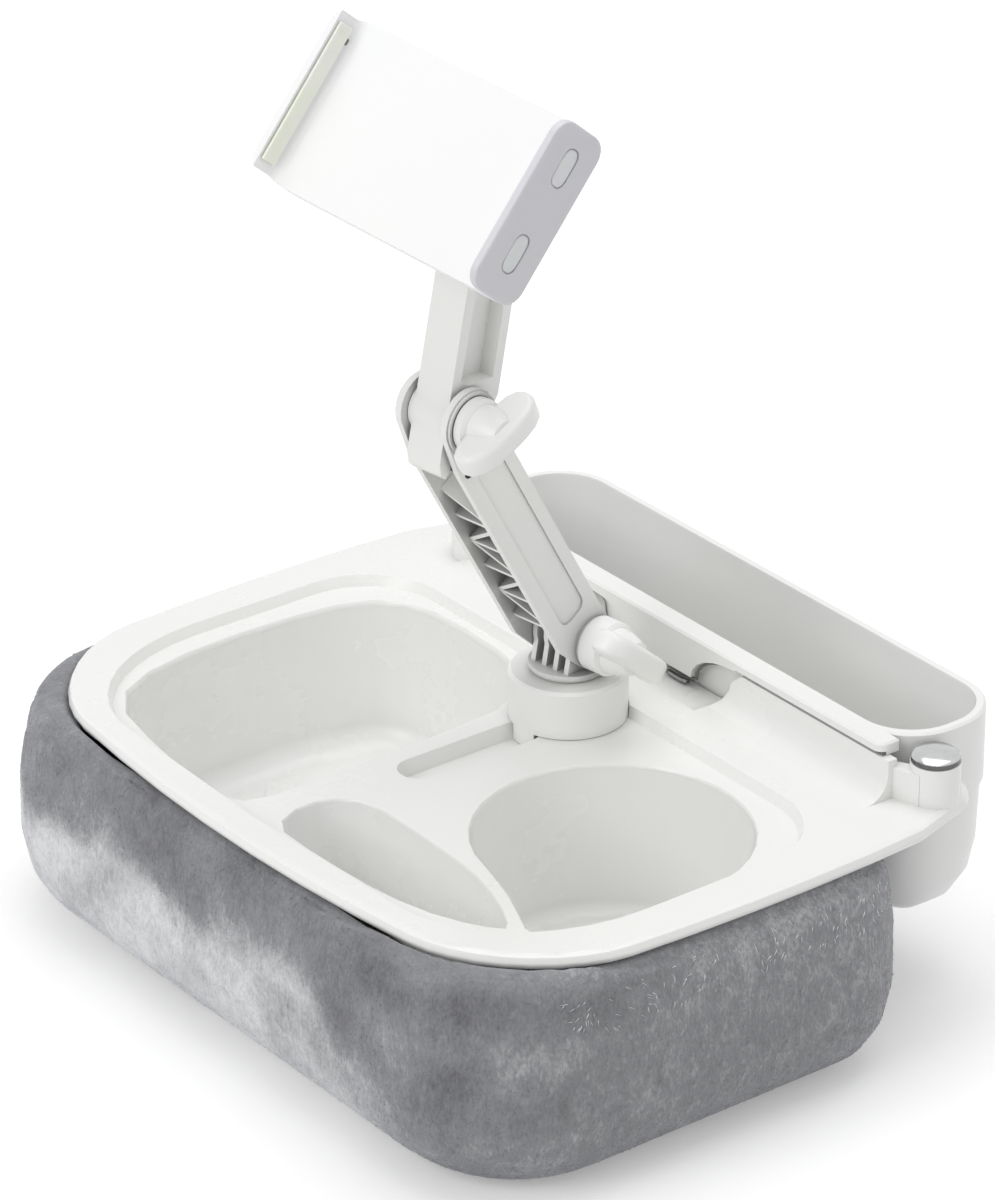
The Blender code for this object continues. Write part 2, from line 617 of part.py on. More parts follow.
def make_caddy():
    """Hang-on bin: an oval tub with a waist step, a rolled top flange and a hook apron over the tray wall."""
    base = CADDY_TAPER + CADDY_STEP
    rings = [caddy_ring(base + offset, CADDY_BOTTOM + rise) for rise, offset in CADDY_FOOT]
    caddy = loft("caddy", rings + [
        caddy_ring(base, CADDY_BOTTOM + 0.0300),
        caddy_ring(CADDY_STEP, CADDY_WAIST - 0.0015),
        caddy_ring(0.0, CADDY_WAIST),
        caddy_ring(0.0, CADDY_TOP - 0.0008),
        caddy_ring(0.0009, CADDY_TOP),
    ])
    # near-side flange that laps the wall, and its apron
    lip_y = (REAR_WALL_Y[0] - 0.0006, CADDY_CENTRE_Y - CADDY_HALF_Y + 0.004)
    lip_x = (REAR_WALL_X[0] + 0.002, REAR_WALL_X[1] - 0.004)
    lip_outline = rounded_box_outline(lip_x, lip_y, (0.004, 0.004, 0.001, 0.001))
    lip = loft("lip", [
        level(lip_outline, REAR_WALL_TOP + FIT),
        level(lip_outline, CADDY_TOP - 0.0008),
        level(inset(lip_outline, 0.0008), CADDY_TOP)])
    # shadow gap under the front edge of the lip
    cut(lip, box("gap", (REAR_WALL_X[0] - 0.002, REAR_WALL_X[1] + 0.002), (lip_y[0] - 0.002, lip_y[0] + 0.0032),
                 (REAR_WALL_TOP - 0.002, REAR_WALL_TOP + LIP_GAP)))
    flare = []
    for step in range(7):
        share = step / 6
        quarter = share * math.pi / 2
        drop = REAR_WALL_TOP + 0.001 - APRON_FOOT
        flare.append((-APRON_HALF + (APRON_HALF - APRON_HALF_FOOT) * math.sin(quarter),
                      REAR_WALL_TOP + 0.001 - drop * (1 - math.cos(quarter))))
    apron_outline = flare + [(-x, z) for x, z in reversed(flare)]
    apron_outline += [(APRON_HALF, CADDY_TOP - 0.001), (-APRON_HALF, CADDY_TOP - 0.001)]
    apron = front_plate("apron", apron_outline, (lip_y[0], lip_y[0] + APRON_THICK + 0.0042))
    join(caddy, lip, apron)
    inner = base + CADDY_WALL
    rings = [caddy_ring(inner + offset, CADDY_BOTTOM + CADDY_WALL + rise) for rise, offset in CADDY_FOOT]
    cut(caddy, loft("caddy_cut", rings + [
        caddy_ring(inner, CADDY_BOTTOM + 0.0300),
        caddy_ring(CADDY_STEP + CADDY_WALL, CADDY_TOP - 0.0012),
        caddy_ring(CADDY_STEP + CADDY_WALL - 0.0008, CADDY_TOP + 0.002)]))
    finish(caddy, "white_plastic")


def make_base_knuckle():
    socket = revolve("arm_socket", [
        (BOSS_BORE, PLATFORM_TOP + FIT), (BOSS_RADIUS, PLATFORM_TOP + FIT), (BOSS_RADIUS, BOSS_TOP - 0.0012),
        (BOSS_RADIUS - 0.0012, BOSS_TOP), (BOSS_BORE, BOSS_TOP), (BOSS_BORE, PLATFORM_TOP + FIT)], 48)
    shift(socket, BOSS[0], BOSS[1])
    groove_fill = inset(rounded_box_outline((GROOVE_X - GROOVE_RADIUS, GROOVE_X + GROOVE_RADIUS), GROOVE_Y,
                                            GROOVE_RADIUS - 0.0002), 0.0015 + FIT)
    foot = prism("foot", groove_fill, GROOVE_FLOOR + FIT, PLATFORM_TOP + 0.003)
    keep(foot, cylinder("foot_limit", BOSS_RADIUS, GROOVE_FLOOR - 0.001, BOSS_TOP, 48, BOSS))
    join(socket, foot)
    finish(socket, "white_plastic")
    low = SLAB_UNDER - FIT - AXLE_HEAD
    high = BOSS_TOP + WASHER + FIT * 2 + 0.0016
    axle = revolve("swivel_axle", [
        (0.0, low), (AXLE_HEAD_RADIUS, low), (AXLE_HEAD_RADIUS, low + AXLE_HEAD),
        (AXLE_RADIUS, low + AXLE_HEAD), (AXLE_RADIUS, high), (0.0, high)], 24)
    finish(axle, "steel", (BOSS[0], BOSS[1], 0.0))
    base = BOSS_TOP + FIT
    washer = revolve("swivel_washer", [(AXLE_RADIUS + FIT, base), (TABLE_RADIUS - 0.001, base),
                                       (TABLE_RADIUS - 0.001, base + WASHER), (AXLE_RADIUS + FIT, base + WASHER),
                                       (AXLE_RADIUS + FIT, base)], 32)
    finish(washer, "nylon", (BOSS[0], BOSS[1], 0.0))
    # turntable with its comb of ribs
    base = BOSS_TOP + WASHER + FIT * 2
    table = cylinder("turntable", TABLE_RADIUS, base, TABLE_TOP, 36)
    pivot = PIVOT_1
    span = KNUCKLE_HALF * 2 - KNUCKLE_RIB
    ribs = []
    for index in range(KNUCKLE_RIBS):
        middle = -KNUCKLE_HALF + KNUCKLE_RIB / 2 + span * index / (KNUCKLE_RIBS - 1)
        outline = arc((pivot.y, pivot.z), KNUCKLE_RADIUS, -20, 200, 14)
        outline += [(pivot.y - 0.0112, TABLE_TOP - 0.001), (pivot.y + 0.0100, TABLE_TOP - 0.001)]
        ribs.append(side_plate("rib", outline, (middle - KNUCKLE_RIB / 2, middle + KNUCKLE_RIB / 2)))
    hub = along_x(cylinder("hub", KNUCKLE_HUB, -KNUCKLE_HALF, KNUCKLE_HALF, 24))
    shift(hub, 0.0, pivot.y, pivot.z)
    ribs.append(hub)
    ribs.append(side_plate("rib_web", [(pivot.y - 0.0012, TABLE_TOP - 0.001), (pivot.y + 0.0012, TABLE_TOP - 0.001),
                                       (pivot.y + 0.0012, pivot.z), (pivot.y - 0.0012, pivot.z)],
                           (-KNUCKLE_HALF + 0.0005, KNUCKLE_HALF - 0.0005)))
    join(table, *ribs)
    hole = along_x(cylinder("hole", BOLT_HOLE, -0.02, 0.02, 20))
    cut(table, shift(hole, 0.0, pivot.y, pivot.z))
    well = cylinder("axle_bore", AXLE_RADIUS + FIT, base - 0.001, base + 0.0016 + FIT, 24)
    cut(table, well)
    finish(table, "arm_plastic", (BOSS[0], BOSS[1], 0.0), Matrix.Rotation(math.radians(YAW), 4, "Z"))


def lean(degrees):
    return Matrix.Rotation(math.radians(degrees), 4, "X")


def arm_turn(degrees, roll=0.0):
    """Lean about the arm's own cross axis, then the yaw of the whole arm."""
    yaw = Matrix.Rotation(math.radians(YAW), 4, "Z")
    return yaw @ lean(degrees) @ Matrix.Rotation(math.radians(roll), 4, "Y")


def arm_point(point):
    """Places a point of the arm plane, given about the boss axis."""
    turned = Matrix.Rotation(math.radians(YAW), 4, "Z") @ point
    return turned + Vector((BOSS[0], BOSS[1], 0.0))


def arm_outline(length, depth, foot_end, head_end, steps=10):
    """(y, z) side outline of a link that runs up +Z between two pivots."""
    front, rear = depth
    points = arc((0.0, 0.0), foot_end, 200, 340, steps)
    points += [(rear, foot_end * 1.30), (rear, length - head_end * 1.25)]
    points += arc((0.0, length), head_end, 20, 160, steps)
    points += [(front, length - head_end * 1.0), (front, foot_end * 1.0)]
    return points


def make_lower_arm():
    """Channel-section link: two cheeks, a rear web and a zigzag of truss ribs under the web."""
    inner, outer = LOWER_CHEEK
    outline = arm_outline(LOWER_LENGTH, LOWER_DEPTH, LOWER_FOOT_END, LOWER_HEAD_END)
    arm = side_plate("lower_arm", outline, (-outer, outer))
    inside = box("inside", (-inner, inner), (LOWER_DEPTH[0] - 0.010, LOWER_DEPTH[1] + 0.010),
                 (-0.030, LOWER_LENGTH + 0.030))
    cut(arm, inside)
    front, rear = LOWER_DEPTH
    low, high = LOWER_WEB_SPAN
    parts = [box("web", (-inner - 0.0006, inner + 0.0006), (rear - LOWER_WEB, rear - 0.0001), (low, high))]
    # truss ribs between the cheeks
    span = high - low - 0.004
    for index in range(TRUSS_STEPS):
        start = low + 0.002 + span * index / TRUSS_STEPS
        end = low + 0.002 + span * (index + 1) / TRUSS_STEPS
        near, far = (-inner - 0.0004, inner + 0.0004) if index % 2 else (inner + 0.0004, -inner - 0.0004)
        direction = Vector((far - near, end - start)).normalized()
        side = Vector((-direction.y, direction.x)) * TRUSS_RIB / 2
        quad = [(near - side.x, start - side.y), (near + side.x, start + side.y),
                (far + side.x, end + side.y), (far - side.x, end - side.y)]
        parts.append(front_plate("truss", quad, (front + 0.0030, rear - LOWER_WEB + 0.0004)))
        parts.append(box("cross", (-inner - 0.0004, inner + 0.0004), (front + 0.0030, rear - LOWER_WEB + 0.0004),
                         (start - TRUSS_RIB / 2, start + TRUSS_RIB / 2)))
    for part in parts:
        keep(part, box("limit", (-inner - 0.0007, inner + 0.0007), (front - 0.001, rear - 0.0001), (low, high)))
    join(arm, *parts)
    cutters = []
    for height in (0.0, LOWER_LENGTH):
        hole = along_x(cylinder("hole", BOLT_HOLE, -0.03, 0.03, 20))
        cutters.append(shift(hole, 0.0, 0.0, height))
    band = rounded_box_outline((front + 0.0062, rear - 0.0052), (0.0175, LOWER_LENGTH - 0.0185), 0.004, 3)
    for side in (-1, 1):
        x_range = (outer - BAND_RECESS, outer + 0.002) if side > 0 else (-outer - 0.002, -outer + BAND_RECESS)
        cutters.append(side_plate("band", band, x_range))
    pin = along_x(cylinder("pin_hole", PIN_RADIUS + FIT, -0.03, 0.03, 16))
    cutters.append(shift(pin, 0.0, front + 0.0042, PIN_AT))
    cut(arm, *cutters)
    rings = []
    for height, radius in ((0.0, LOWER_FOOT_END - 0.0008), (LOWER_LENGTH, RING_RADIUS)):
        for side in (-1, 1):
            low_x, high_x = sorted((side * (outer - 0.0002), side * (outer + RING_HEIGHT)))
            ring = along_x(revolve("ring", [
                (radius - RING_WIDTH, low_x), (radius, low_x), (radius, high_x),
                (radius - RING_WIDTH, high_x), (radius - RING_WIDTH, low_x)], 32))
            rings.append(shift(ring, 0.0, 0.0, height))
    join(arm, *rings)
    finish(arm, "arm_plastic", arm_point(PIVOT_1), arm_turn(LOWER_LEAN))


def make_stop_pin():
    inner, outer = LOWER_CHEEK
    pin = along_x(cylinder("stop_pin", PIN_RADIUS, -outer - 0.0006, outer + 0.0006, 16, edge=0.0004))
    shift(pin, 0.0, LOWER_DEPTH[0] + 0.0042, PIN_AT)
    finish(pin, "black_steel", arm_point(PIVOT_1), arm_turn(LOWER_LEAN))


def elbow_pivot():
    return PIVOT_1 + lean(LOWER_LEAN) @ Vector((0.0, 0.0, LOWER_LENGTH))


def head_pivot():
    return elbow_pivot() + lean(UPPER_LEAN) @ Vector((0.0, 0.0, UPPER_LENGTH))


def make_upper_arm():
    """I-section link: front and rear flanges, a central web and a channel down each side."""
    f0, r0 = UPPER_DEPTH_FOOT
    f1, r1 = UPPER_DEPTH_HEAD
    outline = arc((0.0, 0.0), UPPER_HUB, 250, 350, 8)
    outline += [(r0 - 0.0012, 0.0050), (r0, 0.0080), (r1, UPPER_LENGTH - 0.020), (r1 - 0.0025, UPPER_LENGTH - 0.0125)]
    outline += arc((0.0, UPPER_LENGTH), FORK_RADIUS, 20, 170, 10)
    outline += [(f0, 0.012), (f0, -UPPER_TAIL + 0.006), (f0 + 0.0016, -UPPER_TAIL + 0.0016), (f0 + 0.0042, -UPPER_TAIL),
                (f0 + 0.0062, -UPPER_TAIL + 0.003)]
    arm = side_plate("upper_arm", outline, (-UPPER_HALF, UPPER_HALF))
    hub = along_x(cylinder("hub", UPPER_HUB - 0.0016, -UPPER_HUB_HALF, UPPER_HUB_HALF, 32))
    join(arm, hub)
    channel = [(f0 + UPPER_PLATE, UPPER_HUB + 0.0035), (0.0, UPPER_HUB + 0.0015), (r0 - UPPER_PLATE, UPPER_HUB + 0.0035),
               (r1 - UPPER_PLATE, UPPER_LENGTH - 0.0135), (f1 + UPPER_PLATE, UPPER_LENGTH - 0.0135)]
    cutters = []
    for side in (-1, 1):
        x_range = (UPPER_WEB / 2, UPPER_HALF + 0.002) if side > 0 else (-UPPER_HALF - 0.002, -UPPER_WEB / 2)
        cutters.append(side_plate("channel", channel, x_range))
    cutters.append(box("fork", (-FORK_GAP, FORK_GAP), (-0.020, 0.020), (UPPER_LENGTH - FORK_RADIUS - 0.0022, UPPER_LENGTH + 0.02)))
    for height in (0.0, UPPER_LENGTH):
        hole = along_x(cylinder("hole", BOLT_HOLE, -0.02, 0.02, 20))
        cutters.append(shift(hole, 0.0, 0.0, height))
    cut(arm, *cutters)
    finish(arm, "arm_plastic", arm_point(elbow_pivot()), arm_turn(UPPER_LEAN))


def make_bolt(name, reach_left, reach_right, pivot):
    bolt = along_x(cylinder(name, BOLT_RADIUS, -reach_left, reach_right, 20, edge=0.0004))
    finish(bolt, "steel", arm_point(pivot), arm_turn(0.0))


def make_nut_cap(name, at, pivot, angle):
    """Slotted round nut cap on the -X side, with a blind bore for the bolt end."""
    cap = along_x(revolve(name, [
        (0.0, -at - NUT_HEIGHT), (NUT_RADIUS * 0.72, -at - NUT_HEIGHT), (NUT_RADIUS, -at - NUT_HEIGHT + 0.0014),
        (NUT_RADIUS, -at - FIT), (BOLT_HOLE, -at - FIT), (BOLT_HOLE, -at - 0.0030), (0.0, -at - 0.0030)], 28))
    width, length, depth = NUT_SLOT
    slot = box("slot", (-at - NUT_HEIGHT - 0.001, -at - NUT_HEIGHT + depth), (-width / 2, width / 2), (-length / 2, length / 2))
    cut(cap, slot)
    finish(cap, "white_plastic", arm_point(pivot), arm_turn(angle))


def make_wing_knob(name, at, pivot, angle, collar, wing, length, foot):
    """Wing knob on the +X side: a stepped collar, a domed hub and two rounded wings."""
    start = at + FIT
    hub = min(KNOB_HUB, collar - 0.0016)
    profile = [(0.0, start), (collar, start),
               (collar, start + foot - 0.0012), (collar - 0.0014, start + foot),
               (hub, start + foot), (hub - 0.0006, start + length * 0.55),
               (hub * 0.72, start + length * 0.78), (0.0, start + length * 0.86)]
    knob = along_x(revolve(name, profile, 36))
    outline = []
    rise = length - foot
    for share, z in ((-0.04, 0.40), (0.02, 0.72), (0.16, 0.93), (0.36, 1.0), (0.62, 0.97), (0.82, 0.84), (0.95, 0.60),
                     (1.0, 0.25)):
        outline.append((start + foot + rise * share, wing * z))
    outline = [(x, -z) for x, z in outline] + list(reversed(outline))
    wings = front_plate("wings", outline, (-KNOB_THICK / 2, KNOB_THICK / 2))
    soften(wings, 0.0024, 3, 50)
    join(knob, wings)
    cut(knob, along_x(cylinder("bore", BOLT_HOLE, start - 0.001, start + KNOB_BORE, 20)))
    finish(knob, "white_plastic", arm_point(pivot), arm_turn(angle))


def make_head():
    """Tilting head: a tongue between the fork cheeks and a round flange that carries the clamp."""
    pivot = head_pivot()
    turn = arm_turn(-CLAMP_TILT)
    tongue = along_x(cylinder("tilt_head", FORK_RADIUS - 0.0006, -TONGUE_HALF, TONGUE_HALF, 28))
    face = CLAMP_BACK - FIT * 2
    flange = revolve("flange", [(0.0, 0.0106), (NECK_RADIUS, 0.0106), (NECK_RADIUS, face - HEAD_FLANGE),
                                (FLANGE_RADIUS, face - HEAD_FLANGE * 0.4), (FLANGE_RADIUS, face), (0.0, face)], 36)
    flange.data.transform(Matrix.Rotation(math.radians(90), 4, "X"))
    neck = box("neck", (-TONGUE_HALF, TONGUE_HALF), (-0.0124, 0.0), (-0.0060, 0.0060))
    join(tongue, neck, flange)
    hole = along_x(cylinder("hole", BOLT_HOLE, -0.02, 0.02, 20))
    screw_hole = cylinder("screw_hole", SCREW_RADIUS + FIT, CLAMP_BACK - SCREW_LENGTH - FIT, CLAMP_BACK + 0.004, 20)
    screw_hole.data.transform(Matrix.Rotation(math.radians(90), 4, "X"))
    cut(tongue, hole, screw_hole)
    finish(tongue, "arm_plastic", arm_point(pivot), turn)
    screw = revolve("swivel_screw", [
        (0.0, CLAMP_BACK - SCREW_LENGTH), (SCREW_RADIUS, CLAMP_BACK - SCREW_LENGTH),
        (SCREW_RADIUS, CLAMP_BACK + COVER_THICK + FIT),
        (0.0052, CLAMP_BACK + COVER_THICK + FIT), (0.0052, CLAMP_BACK + COVER_THICK + 0.0020),
        (0.0040, CLAMP_BACK + COVER_THICK + 0.0028), (0.0, CLAMP_BACK + COVER_THICK + 0.0028)], 24)
    screw.data.transform(Matrix.Rotation(math.radians(90), 4, "X"))
    finish(screw, "steel", arm_point(pivot), turn)


def clamp_outline(offset=0.0):
    outline = rounded_box_outline(CLAMP_X, CLAMP_Z, (CLAMP_CORNER, 0.0010, 0.0010, CLAMP_CORNER), 5)
    return inset(outline, offset) if offset else outline


def make_clamp():
    """Device clamp: a hollow body with a fixed lip, and a sprung jaw on two rods."""
    pivot = head_pivot()
    turn = arm_turn(-CLAMP_TILT, CLAMP_ROLL)
    body = front_plate("clamp_body", clamp_outline(), (-LIP_TOP, -CLAMP_BACK))
    scoop = rounded_box_outline((CLAMP_X[0] + LIP_THICK, CLAMP_X[1] + 0.020), (CLAMP_FRONT, CLAMP_FRONT + 0.030),
                                (0.0035, 0.0010, 0.0010, 0.0010), 4)
    cut(body, prism("scoop", [(x, -y) for x, y in reversed(scoop)], CLAMP_Z[0] - 0.002, CLAMP_Z[1] + 0.002))
    cavity = rounded_box_outline((CLAMP_X[0] + CLAMP_SKIN + 0.004, CLAMP_X[1] + 0.003),
                                 (CLAMP_Z[0] + CLAMP_SKIN, CLAMP_Z[1] - CLAMP_SKIN), 0.0030, 3)
    cavity_cut = front_plate("cavity", cavity, (-CLAMP_FRONT + CLAMP_SKIN, -CLAMP_BACK + 0.002))
    cut(body, cavity_cut)
    # bearing posts and ribs for the rods, and screw bosses
    depth = (-CLAMP_FRONT + CLAMP_SKIN - 0.0004, -CLAMP_BACK - COVER_THICK - FIT)
    supports = []
    for z in ROD_Z:
        for x0, x1 in (POST_X, RIB_X):
            supports.append(box("support", (x0, x1), depth, (z - 0.0034, z + 0.0034)))
    for x in [CLAMP_X[0] + along for along in COVER_SCREW_X]:
        for z in (CLAMP_Z[0] + COVER_SCREW_Z, CLAMP_Z[1] - COVER_SCREW_Z):
            screw_post = cylinder("screw_post", 0.0034, -depth[1], -depth[0], 20)
            screw_post.data.transform(Matrix.Rotation(math.radians(90), 4, "X"))
            supports.append(shift(screw_post, x, 0.0, z))
    join(body, *supports)
    holes = []
    for z in ROD_Z:
        rod_hole = along_x(cylinder("rod_hole", ROD_RADIUS + FIT * 0.5, ROD_X[0] - FIT, ROD_X[1] + FIT, 16))
        holes.append(shift(rod_hole, 0.0, -ROD_N, z))
    for x in [CLAMP_X[0] + along for along in COVER_SCREW_X]:
        for z in (CLAMP_Z[0] + COVER_SCREW_Z, CLAMP_Z[1] - COVER_SCREW_Z):
            bore = cylinder("bore", 0.0013 + FIT, -depth[1] - 0.001, -depth[1] + 0.0055, 16)
            bore.data.transform(Matrix.Rotation(math.radians(90), 4, "X"))
            holes.append(shift(bore, x, 0.0, z))
    cut(body, *holes)
    finish(body, "white_plastic", arm_point(pivot), turn)
    # back cover and its screws
    cover = front_plate("clamp_cover", rounded_box_outline(
        (CLAMP_X[0] + CLAMP_SKIN + 0.004 + FIT, CLAMP_X[1] - FIT),
        (CLAMP_Z[0] + CLAMP_SKIN + FIT, CLAMP_Z[1] - CLAMP_SKIN - FIT), 0.0030, 3),
        (-CLAMP_BACK - COVER_THICK, -CLAMP_BACK))
    holes = []
    centre_hole = cylinder("centre_hole", SCREW_RADIUS + FIT, CLAMP_BACK - 0.002, CLAMP_BACK + 0.006, 20)
    centre_hole.data.transform(Matrix.Rotation(math.radians(90), 4, "X"))
    holes.append(centre_hole)
    number = 0
    for x in [CLAMP_X[0] + along for along in COVER_SCREW_X]:
        for z in (CLAMP_Z[0] + COVER_SCREW_Z, CLAMP_Z[1] - COVER_SCREW_Z):
            number += 1
            sink = revolve("sink", [(0.0, CLAMP_BACK - 0.002), (0.0026, CLAMP_BACK - 0.002), (0.0026, CLAMP_BACK + 0.0010),
                                    (0.0013 + FIT, CLAMP_BACK + 0.0010), (0.0013 + FIT, CLAMP_BACK + 0.006),
                                    (0.0, CLAMP_BACK + 0.006)], 16)
            sink.data.transform(Matrix.Rotation(math.radians(90), 4, "X"))
            holes.append(shift(sink, x, 0.0, z))
            screw = revolve("cover_screw_%d" % number, [
                (0.0, CLAMP_BACK + 0.0002), (0.0023, CLAMP_BACK + 0.0002), (0.0023, CLAMP_BACK + 0.0010 - FIT),
                (0.0013, CLAMP_BACK + 0.0010 - FIT), (0.0013, CLAMP_BACK + 0.0065), (0.0, CLAMP_BACK + 0.0065)], 16)
            screw.data.transform(Matrix.Rotation(math.radians(90), 4, "X"))
            shift(screw, x, 0.0, z)
            finish(screw, "steel", arm_point(pivot), turn)
    cut(cover, *holes)
    finish(cover, "arm_plastic", arm_point(pivot), turn)
    # pad on the fixed lip
    pad = box("lip_pad", (CLAMP_X[0] + LIP_THICK + FIT, CLAMP_X[0] + LIP_THICK + 0.0016),
              (-LIP_TOP + 0.0012, -CLAMP_FRONT - 0.0036), (CLAMP_Z[0] + 0.0050, CLAMP_Z[1] - 0.0050))
    soften(pad, 0.0005, 2)
    finish(pad, "silicone_ivory", arm_point(pivot), turn)
    # guide rods and return springs
    number = 0
    for z in ROD_Z:
        number += 1
        rod = along_x(cylinder("guide_rod_%d" % number, ROD_RADIUS, ROD_X[0], ROD_X[1], 16))
        shift(rod, 0.0, -ROD_N, z)
        finish(rod, "steel", arm_point(pivot), turn)
        make_spring("jaw_spring_%d" % number, LUG_X[1] + 0.0008, RIB_X[0] - 0.0008, z, pivot, turn)


def make_spring(name, low, high, z, pivot, turn):
    """Compression spring swept round a guide rod."""
    curve = bpy.data.curves.new(name, "CURVE")
    curve.dimensions = "3D"
    curve.bevel_depth = SPRING_WIRE
    curve.bevel_resolution = 1
    curve.use_fill_caps = True
    line = curve.splines.new("POLY")
    steps = SPRING_TURNS * 10
    line.points.add(steps)
    for step in range(steps + 1):
        angle = 2 * math.pi * step / 10
        share = step / steps
        line.points[step].co = (low + (high - low) * share, -ROD_N + SPRING_RADIUS * math.cos(angle),
                                z + SPRING_RADIUS * math.sin(angle), 1.0)
    holder = bpy.data.objects.new(name + "_path", curve)
    bpy.context.scene.collection.objects.link(holder)
    bpy.context.view_layer.update()
    graph = bpy.context.evaluated_depsgraph_get()
    mesh = bpy.data.meshes.new_from_object(holder.evaluated_get(graph))
    bpy.data.objects.remove(holder, do_unlink=True)
    made = bpy.data.objects.new(name, mesh)
    bpy.context.scene.collection.objects.link(made)
    finish(made, "steel", arm_point(pivot), turn)


def make_jaw():
    """Sliding jaw: an outer wall with two finger dimples and a tongue that runs inside the body."""
    pivot = head_pivot()
    turn = arm_turn(-CLAMP_TILT, CLAMP_ROLL)
    x0, x1 = JAW_X
    wall = side_plate("sliding_jaw", rounded_box_outline((-LIP_TOP, -JAW_BACK), CLAMP_Z, JAW_CORNER, 5), (x0, x1))
    soften(wall, 0.0010, 2, 60)
    tongue = box("tongue", (JAW_TONGUE_X, x0 + 0.001), (-JAW_TONGUE_N[1], -JAW_TONGUE_N[0]), JAW_TONGUE_Z)
    lugs = box("lugs", LUG_X, (-JAW_TONGUE_N[1], -JAW_TONGUE_N[0]), (ROD_Z[0] - 0.0028, ROD_Z[1] + 0.0028))
    join(wall, tongue, lugs)
    cutters = []
    for z in ROD_Z:
        hole = along_x(cylinder("hole", ROD_RADIUS + FIT, LUG_X[0] - 0.002, LUG_X[1] + 0.002, 16))
        cutters.append(shift(hole, 0.0, -ROD_N, z))
    for z in (CLAMP_Z[0] + 0.0170, CLAMP_Z[1] - 0.0150):
        dimple = side_plate("dimple", rounded_box_outline((-CLAMP_FRONT - 0.0020, -CLAMP_FRONT + 0.0060), (z - 0.0075, z + 0.0075), 0.0035, 4),
                            (x1 - 0.0007, x1 + 0.001))
        cutters.append(dimple)
    cut(wall, *cutters)
    finish(wall, "rubber_lavender", arm_point(pivot), turn)
    pad = box("jaw_pad", (x0 - 0.0014, x0 - FIT), (-LIP_TOP + 0.0030, -CLAMP_FRONT - 0.0020),
              (CLAMP_Z[0] + 0.0060, CLAMP_Z[1] - 0.0060))
    soften(pad, 0.0004, 2)
    finish(pad, "silicone_ivory", arm_point(pivot), turn)


def make_fasteners():
    outer = LOWER_CHEEK[1]
    elbow = elbow_pivot()
    head = head_pivot()
    make_bolt("lower_bolt", outer + 0.0026, outer + 0.0050, PIVOT_1)
    make_bolt("elbow_bolt", outer + 0.0026, outer + 0.0050, elbow)
    make_bolt("head_bolt", UPPER_HALF + 0.0026, UPPER_HALF + 0.0050, head)
    make_nut_cap("lower_nut_cap", outer, PIVOT_1, LOWER_LEAN)
    make_nut_cap("elbow_nut_cap", outer, elbow, UPPER_LEAN)
    make_nut_cap("head_nut_cap", UPPER_HALF, head, UPPER_LEAN)
    make_wing_knob("lower_wing_knob", outer + RING_HEIGHT, PIVOT_1, KNOB_TURN_LOWER, KNOB_COLLAR, KNOB_WING,
                   KNOB_LENGTH + KNOB_COLLAR_LOW - KNOB_COLLAR_H, KNOB_COLLAR_LOW)
    make_wing_knob("elbow_wing_knob", outer + RING_HEIGHT, elbow, KNOB_TURN_ELBOW, KNOB_COLLAR, KNOB_WING,
                   KNOB_LENGTH, KNOB_COLLAR_H)
    make_wing_knob("head_wing_knob", UPPER_HALF, head, UPPER_LEAN, HEAD_COLLAR, HEAD_WING, HEAD_KNOB_LENGTH,
                   HEAD_KNOB_FOOT)


def main():
    clear_scene()
    make_cushion()
    make_tray()
    make_post_cap()
    make_caddy()
    make_base_knuckle()
    make_lower_arm()
    make_stop_pin()
    make_upper_arm()
    make_fasteners()
    make_head()
    make_clamp()
    make_jaw()


main()
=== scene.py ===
"""Tablet cushion stand: the plush, moulded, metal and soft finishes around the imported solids."""

import math

import bmesh
import bpy
import numpy as np
from bpy.props import FloatProperty, FloatVectorProperty, IntProperty, PointerProperty
from mathutils import Matrix, Vector, noise
from mathutils.bvhtree import BVHTree


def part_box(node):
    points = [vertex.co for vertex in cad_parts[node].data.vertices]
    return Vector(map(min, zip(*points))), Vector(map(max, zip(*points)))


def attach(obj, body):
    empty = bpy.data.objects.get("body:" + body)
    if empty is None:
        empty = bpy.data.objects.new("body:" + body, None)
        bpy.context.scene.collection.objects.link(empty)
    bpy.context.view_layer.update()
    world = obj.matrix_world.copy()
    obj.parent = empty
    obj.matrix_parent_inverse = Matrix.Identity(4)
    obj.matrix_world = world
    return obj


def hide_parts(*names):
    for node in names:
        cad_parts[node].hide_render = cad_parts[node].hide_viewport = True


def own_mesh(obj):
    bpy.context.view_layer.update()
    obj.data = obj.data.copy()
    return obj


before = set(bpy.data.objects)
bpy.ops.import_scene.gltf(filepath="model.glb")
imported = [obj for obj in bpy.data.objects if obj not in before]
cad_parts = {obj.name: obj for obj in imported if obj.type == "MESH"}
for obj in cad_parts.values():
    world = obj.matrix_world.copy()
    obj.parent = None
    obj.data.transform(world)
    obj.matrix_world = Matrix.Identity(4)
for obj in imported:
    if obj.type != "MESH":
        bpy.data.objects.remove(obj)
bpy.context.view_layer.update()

bl_info = {
    "name": "Tablet cushion stand",
    "version": (1, 0, 0),
    "blender": (4, 5, 0),
    "location": "View3D > Sidebar > Stand",
    "description": "Dresses a lap cushion with its tray, caddy, folding arm and sprung holder",
    "category": "Object",
}

